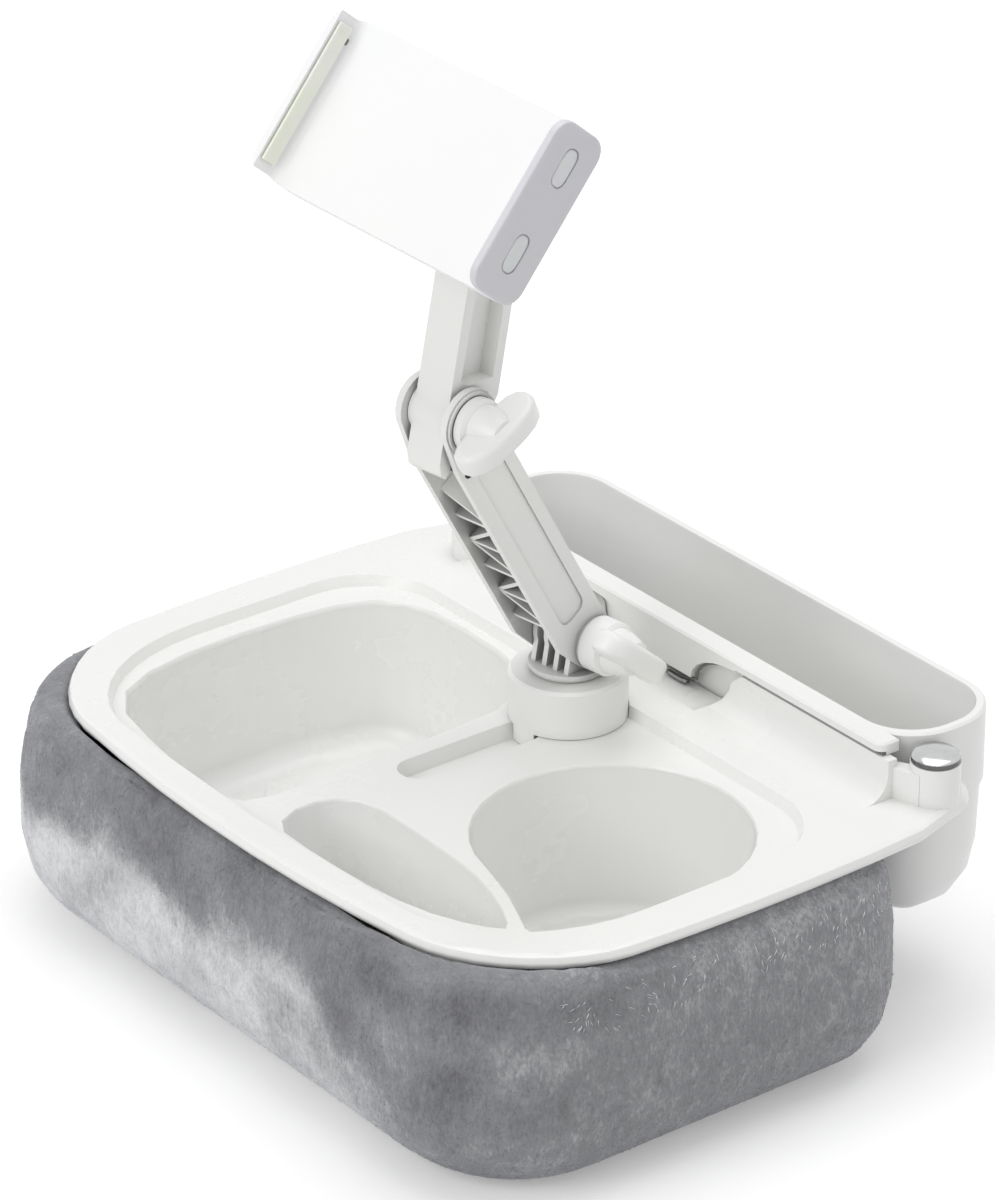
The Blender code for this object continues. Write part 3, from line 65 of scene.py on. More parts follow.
# The cushion's top face and its well, in metres
PAD_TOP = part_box("cushion")[1].z
WELL_HALF_X = 0.1415
WELL_FRONT = -0.1182
WELL_REAR = 0.0530
WELL_MIDDLE_Y = (WELL_FRONT + WELL_REAR) / 2
WELL_MARGIN = 0.0040
WELL_BOTTOM = 0.0100
REAR_FACE = 0.0600
FOOT_BAND = 0.0030
FLOOR_GAP = 0.0002
BASE_CLOTH_TOP = 0.0016
BASE_CLOTH_SLOPE = -0.85

# The tray's rim over the cushion, and the pile that swells up against it
TRAY_LOW, TRAY_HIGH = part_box("tray")
TRAY_MARGIN = 0.0010
TRAY_CLEARANCE = 0.0004
RIM_BAND = 0.0060
RIM_SWELL = 0.0024
RIM_REACH = 0.0080
RIM_START = 0.0015
RIM_DEPTH = 0.0110
RIM_MIDDLE = 0.0020
LEAST_SWELL = 0.0003
TOP_BAND = 0.0040
TOP_SINK = 0.0002
BELOW_TOP = 0.0005
LOOK_FOR_RIM = 0.02

# The pad's soft hollows and clumps: how far each moves the cover, and how many to a metre
HOLLOWS = (0.0009, 15.0)
CLUMPS = (0.00028, 150.0)
COVER_DROP = 0.0004
SWELL_FRAMES = 20
LEAST_POINTS = 2000

# Solids are shaded smooth where their facets meet at less than this, in degrees
SOFT_ANGLE = 38.0

# Holder: the pivot behind its plate, and its own axes across, out of and up the plate
HOLDER_PIVOT = Vector((0.0062, -0.0141, 0.3173))
HOLDER_ACROSS = Vector((0.9941, 0.0894, -0.0606))
HOLDER_OUT = Vector((0.1075, -0.7652, 0.6347))
HOLDER_UP = Vector((-0.0104, 0.6375, 0.7703))
JAW_FACE = 0.0594
DIMPLE_DEPTH = 0.0007
DIMPLE_OUT = 0.0346
DIMPLES_UP = (-0.0208, 0.0128)
DIMPLE_HALF = (0.0036, 0.0071)
LIP_INSIDE = -0.0535
LIP_PIN = (0.0389, 0.0178)
LIP_PIN_RADIUS = 0.0013

# A low button's rings, from its outline to its crown: share of its half sizes, share of its height
BUTTON_RINGS = ((1.0, 0.0), (1.0, 0.55), (0.93, 0.86), (0.62, 0.98))

# Seam between the tray's rear wall and the caddy's flange, and the hook apron's foot; the dark strip and clip
# laid there are painted shade for the seam's shadow gap
SEAM_Y = 0.0768
SEAM_Z = 0.1087
SEAM_X = (0.1245, 0.0850, 0.0480)
APRON_TOP_X = 0.0440
APRON_FOOT_X = 0.0180
APRON_FOOT_Z = 0.0950
APRON_STEPS = 10
STRIP_RADIUS = 0.00062
STRIP_DROP = 0.0006
STRIP_TURN = 0.0015
CLIP_X = (0.0030, 0.0140)
CLIP_OUT = 0.0012
CLIP_DROP = 0.0024
CLIP_SAG = 0.0004
CLIP_RADIUS = 0.0013
CLIP_FLATNESS = 0.62
CLIP_STEPS = 6

# Where a hand has brushed the pile: place, spread across and up, and how far it lies dark (-) or light (+)
BRUSHED = (
    ((0.098, -0.136, 0.046), 0.011, 0.012, -0.26),
    ((0.080, -0.136, 0.052), 0.008, 0.009, -0.16),
    ((0.134, -0.126, 0.050), 0.012, 0.011, -0.26),
    ((0.120, -0.130, 0.036), 0.013, 0.010, -0.18),
    ((0.036, -0.136, 0.036), 0.010, 0.011, -0.16),
    ((0.048, -0.136, 0.046), 0.007, 0.009, -0.12),
    ((-0.010, -0.136, 0.054), 0.008, 0.012, -0.12),
    ((-0.060, -0.136, 0.052), 0.010, 0.010, -0.08),
    ((0.142, -0.110, 0.076), 0.045, 0.010, -0.16),
    ((0.105, -0.130, 0.078), 0.030, 0.010, -0.16),
    ((-0.070, -0.136, 0.074), 0.035, 0.012, 0.06),
    ((0.162, 0.000, 0.080), 0.040, 0.006, 0.10),
    ((0.162, 0.045, 0.060), 0.020, 0.020, 0.05),
    ((-0.160, 0.040, 0.070), 0.030, 0.012, -0.16),
    ((0.020, 0.070, 0.045), 0.060, 0.018, -0.14),
)
UNBRUSHED = 0.44

# Painted light: the pile is painted paler on the front and left faces, where the light falls; where each
# begins and over what length it grows
LIT_FRONT = (0.060, 0.055)
LIT_FRONT_END = (-0.135, 0.110)
LIT_LEFT = (0.110, 0.040)
FRONT_LIGHT = 0.42

# Painted shade: the dark band under the tray's rim that runs along the top of it
BAND_DARK = 0.16
BAND_FADE = 0.030
BAND_HEIGHT = 0.058
BAND_WAVE = (0.004, 61.0)
BAND_RAGGED = (0.013, 42.0)

# Swirls and fine clumps of the nap, with less of the swirls behind a line
NAP_SCALE = 30.0
NAP_SWING = 0.1764
NAP_FINE = 0.06
SWING_FROM = (0.030, 0.080)
SWING_LEAST = 0.30

# Tufts: what they keep clear of, their form as shares of their length, and the ones that curl under the rim
RIM_KEEP_OUT = (0.1515, -0.1235, 0.0070)
WELL_KEEP_OUT = (0.1475, -0.1245, 0.0575)
REAR_KEEP_OUT = 0.0660
FOOT_KEEP_OUT = 0.0018
DOWNWARD = -0.75
TUFT_LENGTH = (0.65, 0.60)
TUFT_LIFT = (0.06, 0.10)
TUFT_RISE = 0.9
TUFT_BELLY = (0.45, 0.13)
TUFT_WIDTH = (0.00013, 0.00009)
TUFT_ROOT = 0.00025
TUFT_TURN = (38.0, 2.6, 0.35)
CURL_X = 0.12
CURL_FROM = -0.095
CURL_BAND = (0.066, 0.081)
CURL_SHARE = 0.13
CURL_LENGTH = 2.4
CURL_NAP = 0.95

# Camera
SENSOR = 36.0
EYE = (1.59690, -1.23290, 1.17259)
LOOK_RIGHT = (0.61015, 0.79229, 0.0)
LOOK_UP = (-0.35969, 0.27700, 0.89101)
LOOK_BACK = (0.70594, -0.54365, 0.45399)

# The floor's own white, seen by the camera alone: near the object, far from it, and where it changes
NEAR_GLOW = 0.25
FAR_GLOW = 0.60
GLOW_REACH = (0.35, 1.10)
FLOOR_EDGES = 96

# Lights: place, size and the property that holds the power; all of them face one point
LIGHTS = (
    ("overhead_soft_box", (-0.10, 0.20, 1.60), 1.3, "key_power"),
    ("front_soft_box", (0.15, -1.75, 1.15), 1.1, "front_power"),
    ("right_fill", (1.60, 0.30, 0.90), 1.0, "right_power"),
)
LIT_POINT = (0.0, 0.0, 0.10)


def fail(words):
    raise RuntimeError(words)


# Properties that a user may change

def tint_prop(name, words, value):
    return FloatVectorProperty(name=name, description=words, subtype="COLOR", min=0, max=1, default=value)


def length_prop(name, words, value, least, most):
    return FloatProperty(name=name, description=words, unit="LENGTH", default=value, min=least, max=most)


def number_prop(name, words, value, least, most):
    return FloatProperty(name=name, description=words, default=value, min=least, max=most)


class CushionProps(bpy.types.PropertyGroup):
    pile_colour: tint_prop("Pile", "Grey of the pile as it stands", (0.280, 0.283, 0.296))
    # The dark and light greys also give the painted shade and painted light carried in the nap.
    pile_dark: tint_prop("Pile, brushed down", "Grey where the pile shows its depth", (0.120, 0.121, 0.130))
    pile_light: tint_prop("Pile, brushed up", "Grey where the pile lies to the light", (0.78, 0.785, 0.800))
    voxel: length_prop("Net size", "Mesh size of the pad before it is inflated", 0.0045, 0.003, 0.008)
    shrink: length_prop("Take in", "How far the pad is taken in before it swells", 0.0020, 0.0, 0.006)
    swell_limit: length_prop("Swell limit", "Furthest the filling pushes the cover", 0.0050, 0.001, 0.010)
    proud: length_prop("Stands proud", "How far the cover may stand outside its solid", 0.0006, 0.0, 0.004)
    sink: length_prop("Sinks in", "How far the cover may lie inside its solid", 0.0009, 0.0, 0.006)
    pressure: number_prop("Pressure", "Pressure of the filling", 4.0, 0.5, 12.0)
    pile_length: length_prop("Pile length", "Length of one tuft", 0.0012, 0.0005, 0.005)
    pile_count: IntProperty(name="Tufts", description="Number of tufts", default=36000, min=1000, max=45000)


class MouldingProps(bpy.types.PropertyGroup):
    tray_white: tint_prop("Tray", "White of the tray and caddy", (0.872, 0.872, 0.856))
    arm_white: tint_prop("Arm", "White of the arm's links", (0.865, 0.865, 0.848))
    holder_white: tint_prop("Holder", "White of the holder's plate", (0.885, 0.885, 0.895))
    jaw_lavender: tint_prop("Jaw", "Pale lavender of the sliding jaw", (0.655, 0.652, 0.690))
    lip_ivory: tint_prop("Lip pad", "Ivory of the soft pads", (0.880, 0.885, 0.800))
    gloss: number_prop("Gloss", "Roughness of the glossy mouldings", 0.27, 0.05, 0.9)
    satin: number_prop("Satin", "Roughness of the satin mouldings", 0.40, 0.05, 0.9)


class MetalProps(bpy.types.PropertyGroup):
    chrome: tint_prop("Chrome", "Colour of the plated cap", (0.60, 0.605, 0.61))
    steel: tint_prop("Steel", "Colour of the turned steel", (0.50, 0.50, 0.51))
    # The clip grey colours the dark strip and clip that are painted shade in the seam, and the lip pin.
    clip_grey: tint_prop("Clip", "Colour of the caddy's clip and seam strip", (0.20, 0.20, 0.195))


class StageProps(bpy.types.PropertyGroup):
    floor_radius: length_prop("Floor", "Radius of the floor", 4.0, 1.0, 20.0)
    floor_colour: tint_prop("Floor colour", "Colour of the floor", (0.86, 0.86, 0.86))
    lens: number_prop("Lens", "Focal length in millimetres", 224.32, 20, 400)
    key_power: number_prop("Overhead", "Power of the overhead light in watts", 10.0, 0, 100)
    front_power: number_prop("Front", "Power of the front light in watts", 10.6, 0, 100)
    right_power: number_prop("Right", "Power of the right-hand light in watts", 1.4, 0, 100)
    ambient: number_prop("Ambient", "Strength of the even light", 0.56, 0, 2)


# Mesh helpers

def put_in_scene(name, data):
    made = bpy.data.objects.new(name, data)
    bpy.context.scene.collection.objects.link(made)
    return made


def shade_smooth(mesh):
    mesh.polygons.foreach_set("use_smooth", [True] * len(mesh.polygons))


def new_piece(name, verts, faces, smooth=True):
    mesh = bpy.data.meshes.new(name)
    mesh.from_pydata([tuple(v) for v in verts], [], faces)
    mesh.update()
    mesh.validate()
    if smooth:
        shade_smooth(mesh)
    return put_in_scene(name, mesh)


def settle(piece):
    """Applies the piece's modifiers to its mesh."""
    graph = bpy.context.evaluated_depsgraph_get()
    graph.update()
    mesh = bpy.data.meshes.new_from_object(piece.evaluated_get(graph))
    piece.modifiers.clear()
    piece.data = mesh
    return piece


def ring_faces(rings, around):
    """Faces between rings of points, with a cap over the first ring and one over the last."""
    faces = []
    for ring in range(rings - 1):
        for k in range(around):
            a, b = ring * around + k, ring * around + (k + 1) % around
            faces.append((a, b, b + around, a + around))
    faces.append(tuple(range(around))[::-1])
    faces.append(tuple((rings - 1) * around + k for k in range(around)))
    return faces


def sweep(name, path, outline):
    """A tube of the outline's section along a path; the outline is (side, up) pairs."""
    last = len(path) - 1
    verts = []
    for i, at in enumerate(path):
        along = (Vector(path[min(i + 1, last)]) - Vector(path[max(i - 1, 0)])).normalized()
        side = along.cross(Vector((0, 0, 1))).normalized()
        lift = side.cross(along).normalized()
        verts += [Vector(at) + side * s + lift * u for s, u in outline]
    return new_piece(name, verts, ring_faces(len(path), len(outline)))


def round_outline(radius, steps, squash=1.0):
    return [(radius * math.cos(math.tau * k / steps), radius * squash * math.sin(math.tau * k / steps))
            for k in range(steps)]


def squared(part, power):
    """A circle's cosine or sine, drawn out towards the corners of a square."""
    return math.copysign(abs(part) ** power, part)


def dome(name, centre, out, up, half, height, squareness=2.0, steps=28):
    """A low button: its outline lies on the face at the centre, and its crown stands out from it."""
    side = Vector(up).cross(Vector(out)).normalized()
    power = 2.0 / squareness
    verts = []
    for share, rise in BUTTON_RINGS:
        for k in range(steps):
            turn = math.tau * k / steps
            across = squared(math.cos(turn), power) * half[0] * share
            along = squared(math.sin(turn), power) * half[1] * share
            verts.append(Vector(centre) + side * across + Vector(up) * along + Vector(out) * height * rise)
    return new_piece(name, verts, ring_faces(len(BUTTON_RINGS), steps))


def holder_point(across, out, up):
    return HOLDER_PIVOT + HOLDER_ACROSS * across + HOLDER_OUT * out + HOLDER_UP * up


# Materials

def blank_material(name):
    made = bpy.data.materials.new(name)
    made.use_nodes = True
    nodes, links = made.node_tree.nodes, made.node_tree.links
    shader = nodes["Principled BSDF"]
    place = nodes.new("ShaderNodeTexCoord").outputs["Object"]
    return made, nodes, links, shader, place


def noise_node(nodes, links, place, scale, detail=4.0, rough=0.55, stretch=(1, 1, 1), distort=0.0):
    stretched = nodes.new("ShaderNodeMapping")
    stretched.inputs["Scale"].default_value = stretch
    links.new(place, stretched.inputs["Vector"])
    grain = nodes.new("ShaderNodeTexNoise")
    grain.inputs["Scale"].default_value = scale
    grain.inputs["Detail"].default_value = detail
    grain.inputs["Roughness"].default_value = rough
    grain.inputs["Distortion"].default_value = distort
    links.new(stretched.outputs["Vector"], grain.inputs["Vector"])
    return grain.outputs["Fac"]


def ramp(nodes, links, source, stops):
    made = nodes.new("ShaderNodeValToRGB")
    marks = made.color_ramp.elements
    while len(marks) < len(stops):
        marks.new(0.5)
    for mark, (at, colour) in zip(marks, stops):
        mark.position = at
        mark.color = (*colour, 1) if len(colour) == 3 else colour
    links.new(source, made.inputs["Fac"])
    return made.outputs["Color"]


def mix_colour(nodes, links, factor, first, second, kind="MIX"):
    made = nodes.new("ShaderNodeMix")
    made.data_type = "RGBA"
    made.blend_type = kind
    for index, value in ((0, factor), (6, first), (7, second)):
        socket = made.inputs[index]
        if hasattr(value, "is_linked"):
            links.new(value, socket)
        elif isinstance(value, (int, float)):
            socket.default_value = value
        else:
            socket.default_value = (*value, 1)
    return made.outputs[2]


def spread(nodes, links, source, low, high, at=(0.3, 0.7)):
    made = nodes.new("ShaderNodeMapRange")
    made.inputs["From Min"].default_value = at[0]
    made.inputs["From Max"].default_value = at[1]
    made.inputs["To Min"].default_value = low
    made.inputs["To Max"].default_value = high
    links.new(source, made.inputs["Value"])
    return made.outputs["Result"]


def maths(nodes, links, operation, first, second, clamp=False):
    made = nodes.new("ShaderNodeMath")
    made.operation = operation
    made.use_clamp = clamp
    for value, socket in ((first, made.inputs[0]), (second, made.inputs[1])):
        links.new(value, socket)
    return made.outputs["Value"]


def scaled(colour, factor):
    return tuple(min(1.0, c * factor) for c in colour)


def relief(nodes, links, shader, *layers):
    """Bump layers of (height socket, strength, distance in metres), stacked."""
    below = None
    for height, strength, distance in layers:
        bump = nodes.new("ShaderNodeBump")
        bump.inputs["Strength"].default_value = strength
        bump.inputs["Distance"].default_value = distance
        links.new(height, bump.inputs["Height"])
        if below is not None:
            links.new(below, bump.inputs["Normal"])
        below = bump.outputs["Normal"]
    links.new(below, shader.inputs["Normal"])


def crease(nodes, links, distance):
    """1 in the open and less in corners and creases, where painted shade goes."""
    hollow = nodes.new("ShaderNodeAmbientOcclusion")
    hollow.samples = 6
    hollow.inputs["Distance"].default_value = distance
    return hollow.outputs["AO"]


def moulded(name, colour, roughness, tint=0.006, coat=0.0, rubbed=0.5, soft=0.0, shadow=0.86, reach=0.006):
    """Injection moulded plastic: flow marks, a faint orange-peel skin, scuffs and painted shade in the
    corners.
    """
    made, nodes, links, shader, place = blank_material(name)
    flow = noise_node(nodes, links, place, 7.0, 3.0, 0.5, (1.0, 0.6, 1.6), 0.4)
    warm = tuple(min(1.0, c * (1.0 + tint * k)) for c, k in zip(colour, (0.9, 0.6, -0.6)))
    cool = tuple(c * (1.0 - tint * k) for c, k in zip(colour, (1.3, 0.9, 0.1)))
    body = ramp(nodes, links, flow, ((0.34, cool), (0.50, colour), (0.68, warm)))
    # Painted shade: the colour falls to the shadow share where corners and creases hold out the light.
    corner_shade = spread(nodes, links, crease(nodes, links, reach), 0.0, 1.0, (0.30, 0.85))
    shade = mix_colour(nodes, links, corner_shade, scaled(colour, shadow), body)
    hairs = noise_node(nodes, links, place, 620.0, 2.0, 0.5, (1.0, 0.05, 1.0), 0.3)
    scuff = spread(nodes, links, hairs, 0.0, 1.0, (0.55, 0.95))
    faint = spread(nodes, links, scuff, 0.0, 0.06 * rubbed, (0.0, 1.0))
    painted = mix_colour(nodes, links, faint, shade, scaled(colour, 1.015))
    links.new(painted, shader.inputs["Base Color"])
    patch = noise_node(nodes, links, place, 18.0, 4.0, 0.6)
    handled = spread(nodes, links, patch, roughness - 0.010, roughness + 0.012)
    dulled = spread(nodes, links, scuff, 0.0, 0.008 * rubbed, (0.0, 1.0))
    links.new(maths(nodes, links, "ADD", handled, dulled), shader.inputs["Roughness"])
    peel = noise_node(nodes, links, place, 420.0, 2.0, 0.5)
    wave = noise_node(nodes, links, place, 34.0, 2.0, 0.4)
    relief(nodes, links, shader, (wave, 0.010, 0.0006), (peel, 0.02, 0.00006))
    shader.inputs["IOR"].default_value = 1.49
    shader.inputs["Coat Weight"].default_value = coat
    shader.inputs["Coat Roughness"].default_value = 0.12
    if soft:
        see_through(shader, soft)
    return made


def see_through(shader, weight):
    """Lets light a few millimetres into a soft or thin moulding."""
    shader.inputs["Subsurface Weight"].default_value = weight
    shader.inputs["Subsurface Radius"].default_value = (0.004, 0.004, 0.003)
    shader.inputs["Subsurface Scale"].default_value = 1.0


def turned_metal(name, colour, roughness, brushed=(1.0, 1.0, 14.0), stain=0.25):
    """Turned or drawn metal: fine tool lines, dull handling patches and a few specks."""
    made, nodes, links, shader, place = blank_material(name)
    lines = noise_node(nodes, links, place, 260.0, 3.0, 0.6, brushed)
    cloud = noise_node(nodes, links, place, 60.0, 4.0, 0.6)
    stops = ((0.30, scaled(colour, 1.0 - stain)), (0.55, colour), (0.80, scaled(colour, 1.1)))
    body = ramp(nodes, links, cloud, stops)
    links.new(body, shader.inputs["Base Color"])
    shader.inputs["Metallic"].default_value = 1.0
    links.new(spread(nodes, links, lines, roughness * 0.7, roughness * 1.5), shader.inputs["Roughness"])
    relief(nodes, links, shader, (lines, 0.12, 0.00006), (cloud, 0.05, 0.0001))
    return made


def plated(name, colour, roughness, rim=0.22):
    """Chrome plating with a painted reflection: bright colour on top, a darker painted band on the side wall.
    """
    made, nodes, links, shader, place = blank_material(name)
    facing = nodes.new("ShaderNodeNewGeometry").outputs["Normal"]
    split = nodes.new("ShaderNodeSeparateXYZ")
    links.new(facing, split.inputs["Vector"])
    # Painted reflection: the colour goes from the rim share on the side wall to full bright on faces turned
    # up.
    top = spread(nodes, links, split.outputs["Z"], 0.0, 1.0, (0.35, 0.80))
    cloud = noise_node(nodes, links, place, 150.0, 3.0, 0.6)
    bright = ramp(nodes, links, cloud, ((0.30, scaled(colour, 0.90)), (0.70, colour)))
    links.new(mix_colour(nodes, links, top, scaled(colour, rim), bright), shader.inputs["Base Color"])
    shader.inputs["Metallic"].default_value = 1.0
    links.new(spread(nodes, links, cloud, roughness * 0.8, roughness * 1.4), shader.inputs["Roughness"])
    fine = noise_node(nodes, links, place, 900.0, 2.0, 0.5)
    relief(nodes, links, shader, (cloud, 0.04, 0.0001), (fine, 0.04, 0.00003))
    return made


def silicone(name, colour, roughness, clear=0.35):
    """Soft pads: slightly see-through, matt, with handling marks and a fine cast texture."""
    made, nodes, links, shader, place = blank_material(name)
    cloud = noise_node(nodes, links, place, 55.0, 4.0, 0.6)
    green = (colour[0] * 0.95, colour[1] * 1.0, colour[2] * 0.90)
    body = ramp(nodes, links, cloud, ((0.32, green), (0.62, colour)))
    links.new(body, shader.inputs["Base Color"])
    links.new(spread(nodes, links, cloud, roughness - 0.08, roughness + 0.10), shader.inputs["Roughness"])
    grain = noise_node(nodes, links, place, 700.0, 2.0, 0.5)
    relief(nodes, links, shader, (cloud, 0.08, 0.0004), (grain, 0.18, 0.00010))
    see_through(shader, clear)
    shader.inputs["IOR"].default_value = 1.41
    return made


def plush(name, props, tufts=False):
    """Short plush: colour follows the nap attribute, the brushed nap with painted light and shade in it, over
    clumps and single fibres.
    """
    made, nodes, links, shader, place = blank_material(name)
    nap = nodes.new("ShaderNodeAttribute")
    nap.attribute_name = "nap"
    fibre = noise_node(nodes, links, place, 900.0, 3.0, 0.7, (1.0, 1.0, 0.45))
    clump = noise_node(nodes, links, place, 120.0, 4.0, 0.65, (1.0, 1.0, 0.6), 1.5)
    hairs = spread(nodes, links, fibre, -0.13, 0.13, (0.25, 0.75))
    tangle = spread(nodes, links, clump, -0.12, 0.12, (0.25, 0.75))
    speckle = maths(nodes, links, "ADD", hairs, nap.outputs["Fac"])
    lay = maths(nodes, links, "ADD", speckle, tangle, clamp=True)
    dark, mid, light = tuple(props.pile_dark), tuple(props.pile_colour), tuple(props.pile_light)
    body = ramp(nodes, links, lay, ((0.0, dark), (0.46, mid), (1.0, light)))
    if tufts:
        body = mix_colour(nodes, links, 0.10, body, light)
    links.new(body, shader.inputs["Base Color"])
    links.new(spread(nodes, links, clump, 0.78, 0.96), shader.inputs["Roughness"])
    shader.inputs["Sheen Weight"].default_value = 0.45
    shader.inputs["Sheen Roughness"].default_value = 0.45
    shader.inputs["Sheen Tint"].default_value = (0.86, 0.86, 0.92, 1.0)
    shader.inputs["Specular IOR Level"].default_value = 0.20
    if not tufts:
        relief(nodes, links, shader, (clump, 0.45, 0.0012), (fibre, 0.60, 0.0005))
    return made


def woven(name, colour):
    """Plain woven base cloth: crossed yarns, slubs and a little lint."""
    made, nodes, links, shader, place = blank_material(name)
    yarns = []
    for direction in ("X", "Y"):
        yarn = nodes.new("ShaderNodeTexWave")
        yarn.bands_direction = direction
        yarn.inputs["Scale"].default_value = 420.0
        yarn.inputs["Distortion"].default_value = 0.6
        links.new(place, yarn.inputs["Vector"])
        yarns.append(yarn.outputs["Fac"])
    cross = maths(nodes, links, "MULTIPLY", *yarns)
    slub = noise_node(nodes, links, place, 160.0, 4.0, 0.6, (1.0, 4.0, 1.0))
    body = mix_colour(nodes, links, cross, scaled(colour, 0.62), colour)
    lint = ramp(nodes, links, slub, ((0.35, scaled(colour, 0.8)), (0.75, scaled(colour, 1.25))))
    links.new(mix_colour(nodes, links, 0.35, body, lint), shader.inputs["Base Color"])
    links.new(spread(nodes, links, slub, 0.80, 0.96), shader.inputs["Roughness"])
    relief(nodes, links, shader, (cross, 0.5, 0.0003), (slub, 0.2, 0.0003))
    return made


def round_off(mesh, limit=SOFT_ANGLE):
    """Shades the facets of a curved wall as one smooth face; points, edges and faces stay as they are."""
    places, corners = {}, []
    for v in mesh.vertices:
        key = tuple(round(c * 1e6) for c in v.co)
        places.setdefault(key, len(places))
        corners.append(places[key])
    around = [[] for _ in places]
    for face in mesh.polygons:
        for v in face.vertices:
            around[corners[v]].append(face.index)
    flat = [face.normal.copy() for face in mesh.polygons]
    weight = [face.area for face in mesh.polygons]
    least = math.cos(math.radians(limit))
    normals = [Vector((0, 0, 1))] * len(mesh.loops)
    for face in mesh.polygons:
        own = flat[face.index]
        for loop in face.loop_indices:
            total = Vector((0, 0, 0))
            for other in around[corners[mesh.loops[loop].vertex_index]]:
                if flat[other].dot(own) > least:
                    total += flat[other] * weight[other]
            normals[loop] = total.normalized() if total.length > 1e-12 else own
    shade_smooth(mesh)
    mesh.normals_split_custom_set(normals)


def wear(material, *names):
    """Puts a finish on carried-over solids and shades their curved walls smooth."""
    for name in names:
        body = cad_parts[name]
        round_off(body.data)
        body.data.materials.clear()
        body.data.materials.append(material)


# The cushion

def ease(share):
    share = np.clip(share, 0.0, 1.0)
    return share * share * (3.0 - 2.0 * share)


def grows(values, line):
    """From 0 before the line's start to 1 at its end; the line is (start, length)."""
    start, length = line
    return ease((values - start) / length)


def nap_and_light_at(points):
    """How the pile lies at each point, 0 dark to 1 light, with painted light on the front and left faces and
    painted shade under the rim.
    """
    x, y, z = points.T
    nap = np.full(len(points), UNBRUSHED)
    for at, across, up, lean in BRUSHED:
        flat = np.hypot(x - at[0], y - at[1])
        nap += lean * np.exp(-(flat / across) ** 2 - ((z - at[2]) / up) ** 2)
    # Painted light: the front and left faces are painted paler, as the light falls on them.
    faces_left = grows(-x, LIT_LEFT)
    lit = np.maximum(grows(-y, LIT_FRONT) * grows(-x, LIT_FRONT_END), faces_left)
    # Painted shade: a ragged dark band under the rim, along the top of the lit faces.
    height, turns = BAND_WAVE
    depth, scale = BAND_RAGGED
    ragged = np.array([noise.noise(Vector(p) * scale) for p in points])
    edge = BAND_HEIGHT + height * np.sin(x * turns) + depth * ragged
    below_band = ease((edge + BAND_FADE / 2 - z) / BAND_FADE)
    nap += lit * (FRONT_LIGHT * below_band - BAND_DARK * (1.0 - below_band))
    swing = SWING_LEAST + (1.0 - SWING_LEAST) * np.maximum(grows(-y, SWING_FROM), faces_left)
    for i, (across, back, up) in enumerate(points):
        swirl = noise.fractal(Vector((across, back, up * 1.2)) * NAP_SCALE, 0.85, 2.1, 5)
        fine = noise.noise(Vector((across, back, up * 0.7)) * NAP_SCALE * 7.0)
        nap[i] += NAP_SWING * swing[i] * swirl + NAP_FINE * fine
    return np.clip(nap, 0.02, 0.98)


# The nap attribute holds the brushed nap together with painted light and painted shade.
def store_nap_and_light(piece, values):
    layer = piece.data.attributes.new("nap", "FLOAT", "POINT")
    layer.data.foreach_set("value", np.asarray(values, np.float32))


def points_of(mesh):
    flat = np.empty(len(mesh.vertices) * 3, np.float32)
    mesh.vertices.foreach_get("co", flat)
    return flat.reshape(-1, 3).astype(float)


def normals_of(mesh):
    flat = np.empty(len(mesh.vertices) * 3, np.float32)
    mesh.vertices.foreach_get("normal", flat)
    return flat.reshape(-1, 3).astype(float)


def put_points(mesh, points):
    mesh.vertices.foreach_set("co", np.asarray(points, np.float32).ravel())
    mesh.update()


def grow(mesh, distance):
    """Moves every point along its normal."""
    put_points(mesh, points_of(mesh) + normals_of(mesh) * distance)


def tree_of(form):
    tree = BVHTree.FromBMesh(form)
    form.free()
    return tree


def rim_swell(point, tray):
    """How far the pile swells up against the tray's edge, outside the tray's outline."""
    x, y, z = point
    if z < PAD_TOP - RIM_DEPTH:
        return 0.0
    over, _, _, _ = tray.ray_cast(Vector((x, y, PAD_TOP - BELOW_TOP)), Vector((0, 0, 1)), LOOK_FOR_RIM)
    if over is not None:
        return 0.0
    _, _, _, gap = tray.find_nearest(Vector((x, y, PAD_TOP + RIM_MIDDLE)))
    rise = min(1.0, (z - (PAD_TOP - RIM_DEPTH)) / RIM_DEPTH)
    near = min(1.0, gap / RIM_START)
    far = max(0.0, gap - RIM_START) / RIM_REACH
    return RIM_SWELL * near * math.exp(-far * far) * rise * rise * (3.0 - 2.0 * rise)


def room_outside(point, proud):
    """How far the cover may stand outside its solid here; less than nothing beside the tray and caddy."""
    x, y, z = point
    under_rim = abs(x) < TRAY_HIGH.x + TRAY_MARGIN and y > TRAY_LOW.y - TRAY_MARGIN and z > PAD_TOP - RIM_BAND
    between_walls = WELL_FRONT - WELL_MARGIN < y < WELL_REAR + WELL_MARGIN
    beside_well = between_walls and abs(x) < WELL_HALF_X + WELL_MARGIN and z > WELL_BOTTOM
    if under_rim or beside_well or y > REAR_FACE:
        return -TRAY_CLEARANCE
    return 0.0 if z < FOOT_BAND else proud


def hold_in_place(points, solid, tray, proud, sink):
    """Moves each point that stands too far outside or inside the cushion's solid back near its face."""
    moved = points.copy()
    for i, p in enumerate(points):
        nearest, normal, _, distance = solid.find_nearest(Vector(p))
        if nearest is None:
            continue
        side = (Vector(p) - nearest).dot(normal)
        allowed = room_outside(p, proud)
        signed = distance if side > 0 else -distance
        swell = rim_swell(p, tray)
        if swell > LEAST_SWELL:
            moved[i] = np.array(nearest + normal * (swell - TRAY_CLEARANCE))
        elif signed > allowed:
            moved[i] = np.array(nearest + normal * allowed)
        else:
            least = allowed - (TOP_SINK if p[2] > PAD_TOP - TOP_BAND else sink)
            if signed < least:
                moved[i] = np.array(nearest + normal * least)
    moved[:, 2] = np.maximum(moved[:, 2], FLOOR_GAP)
    return moved


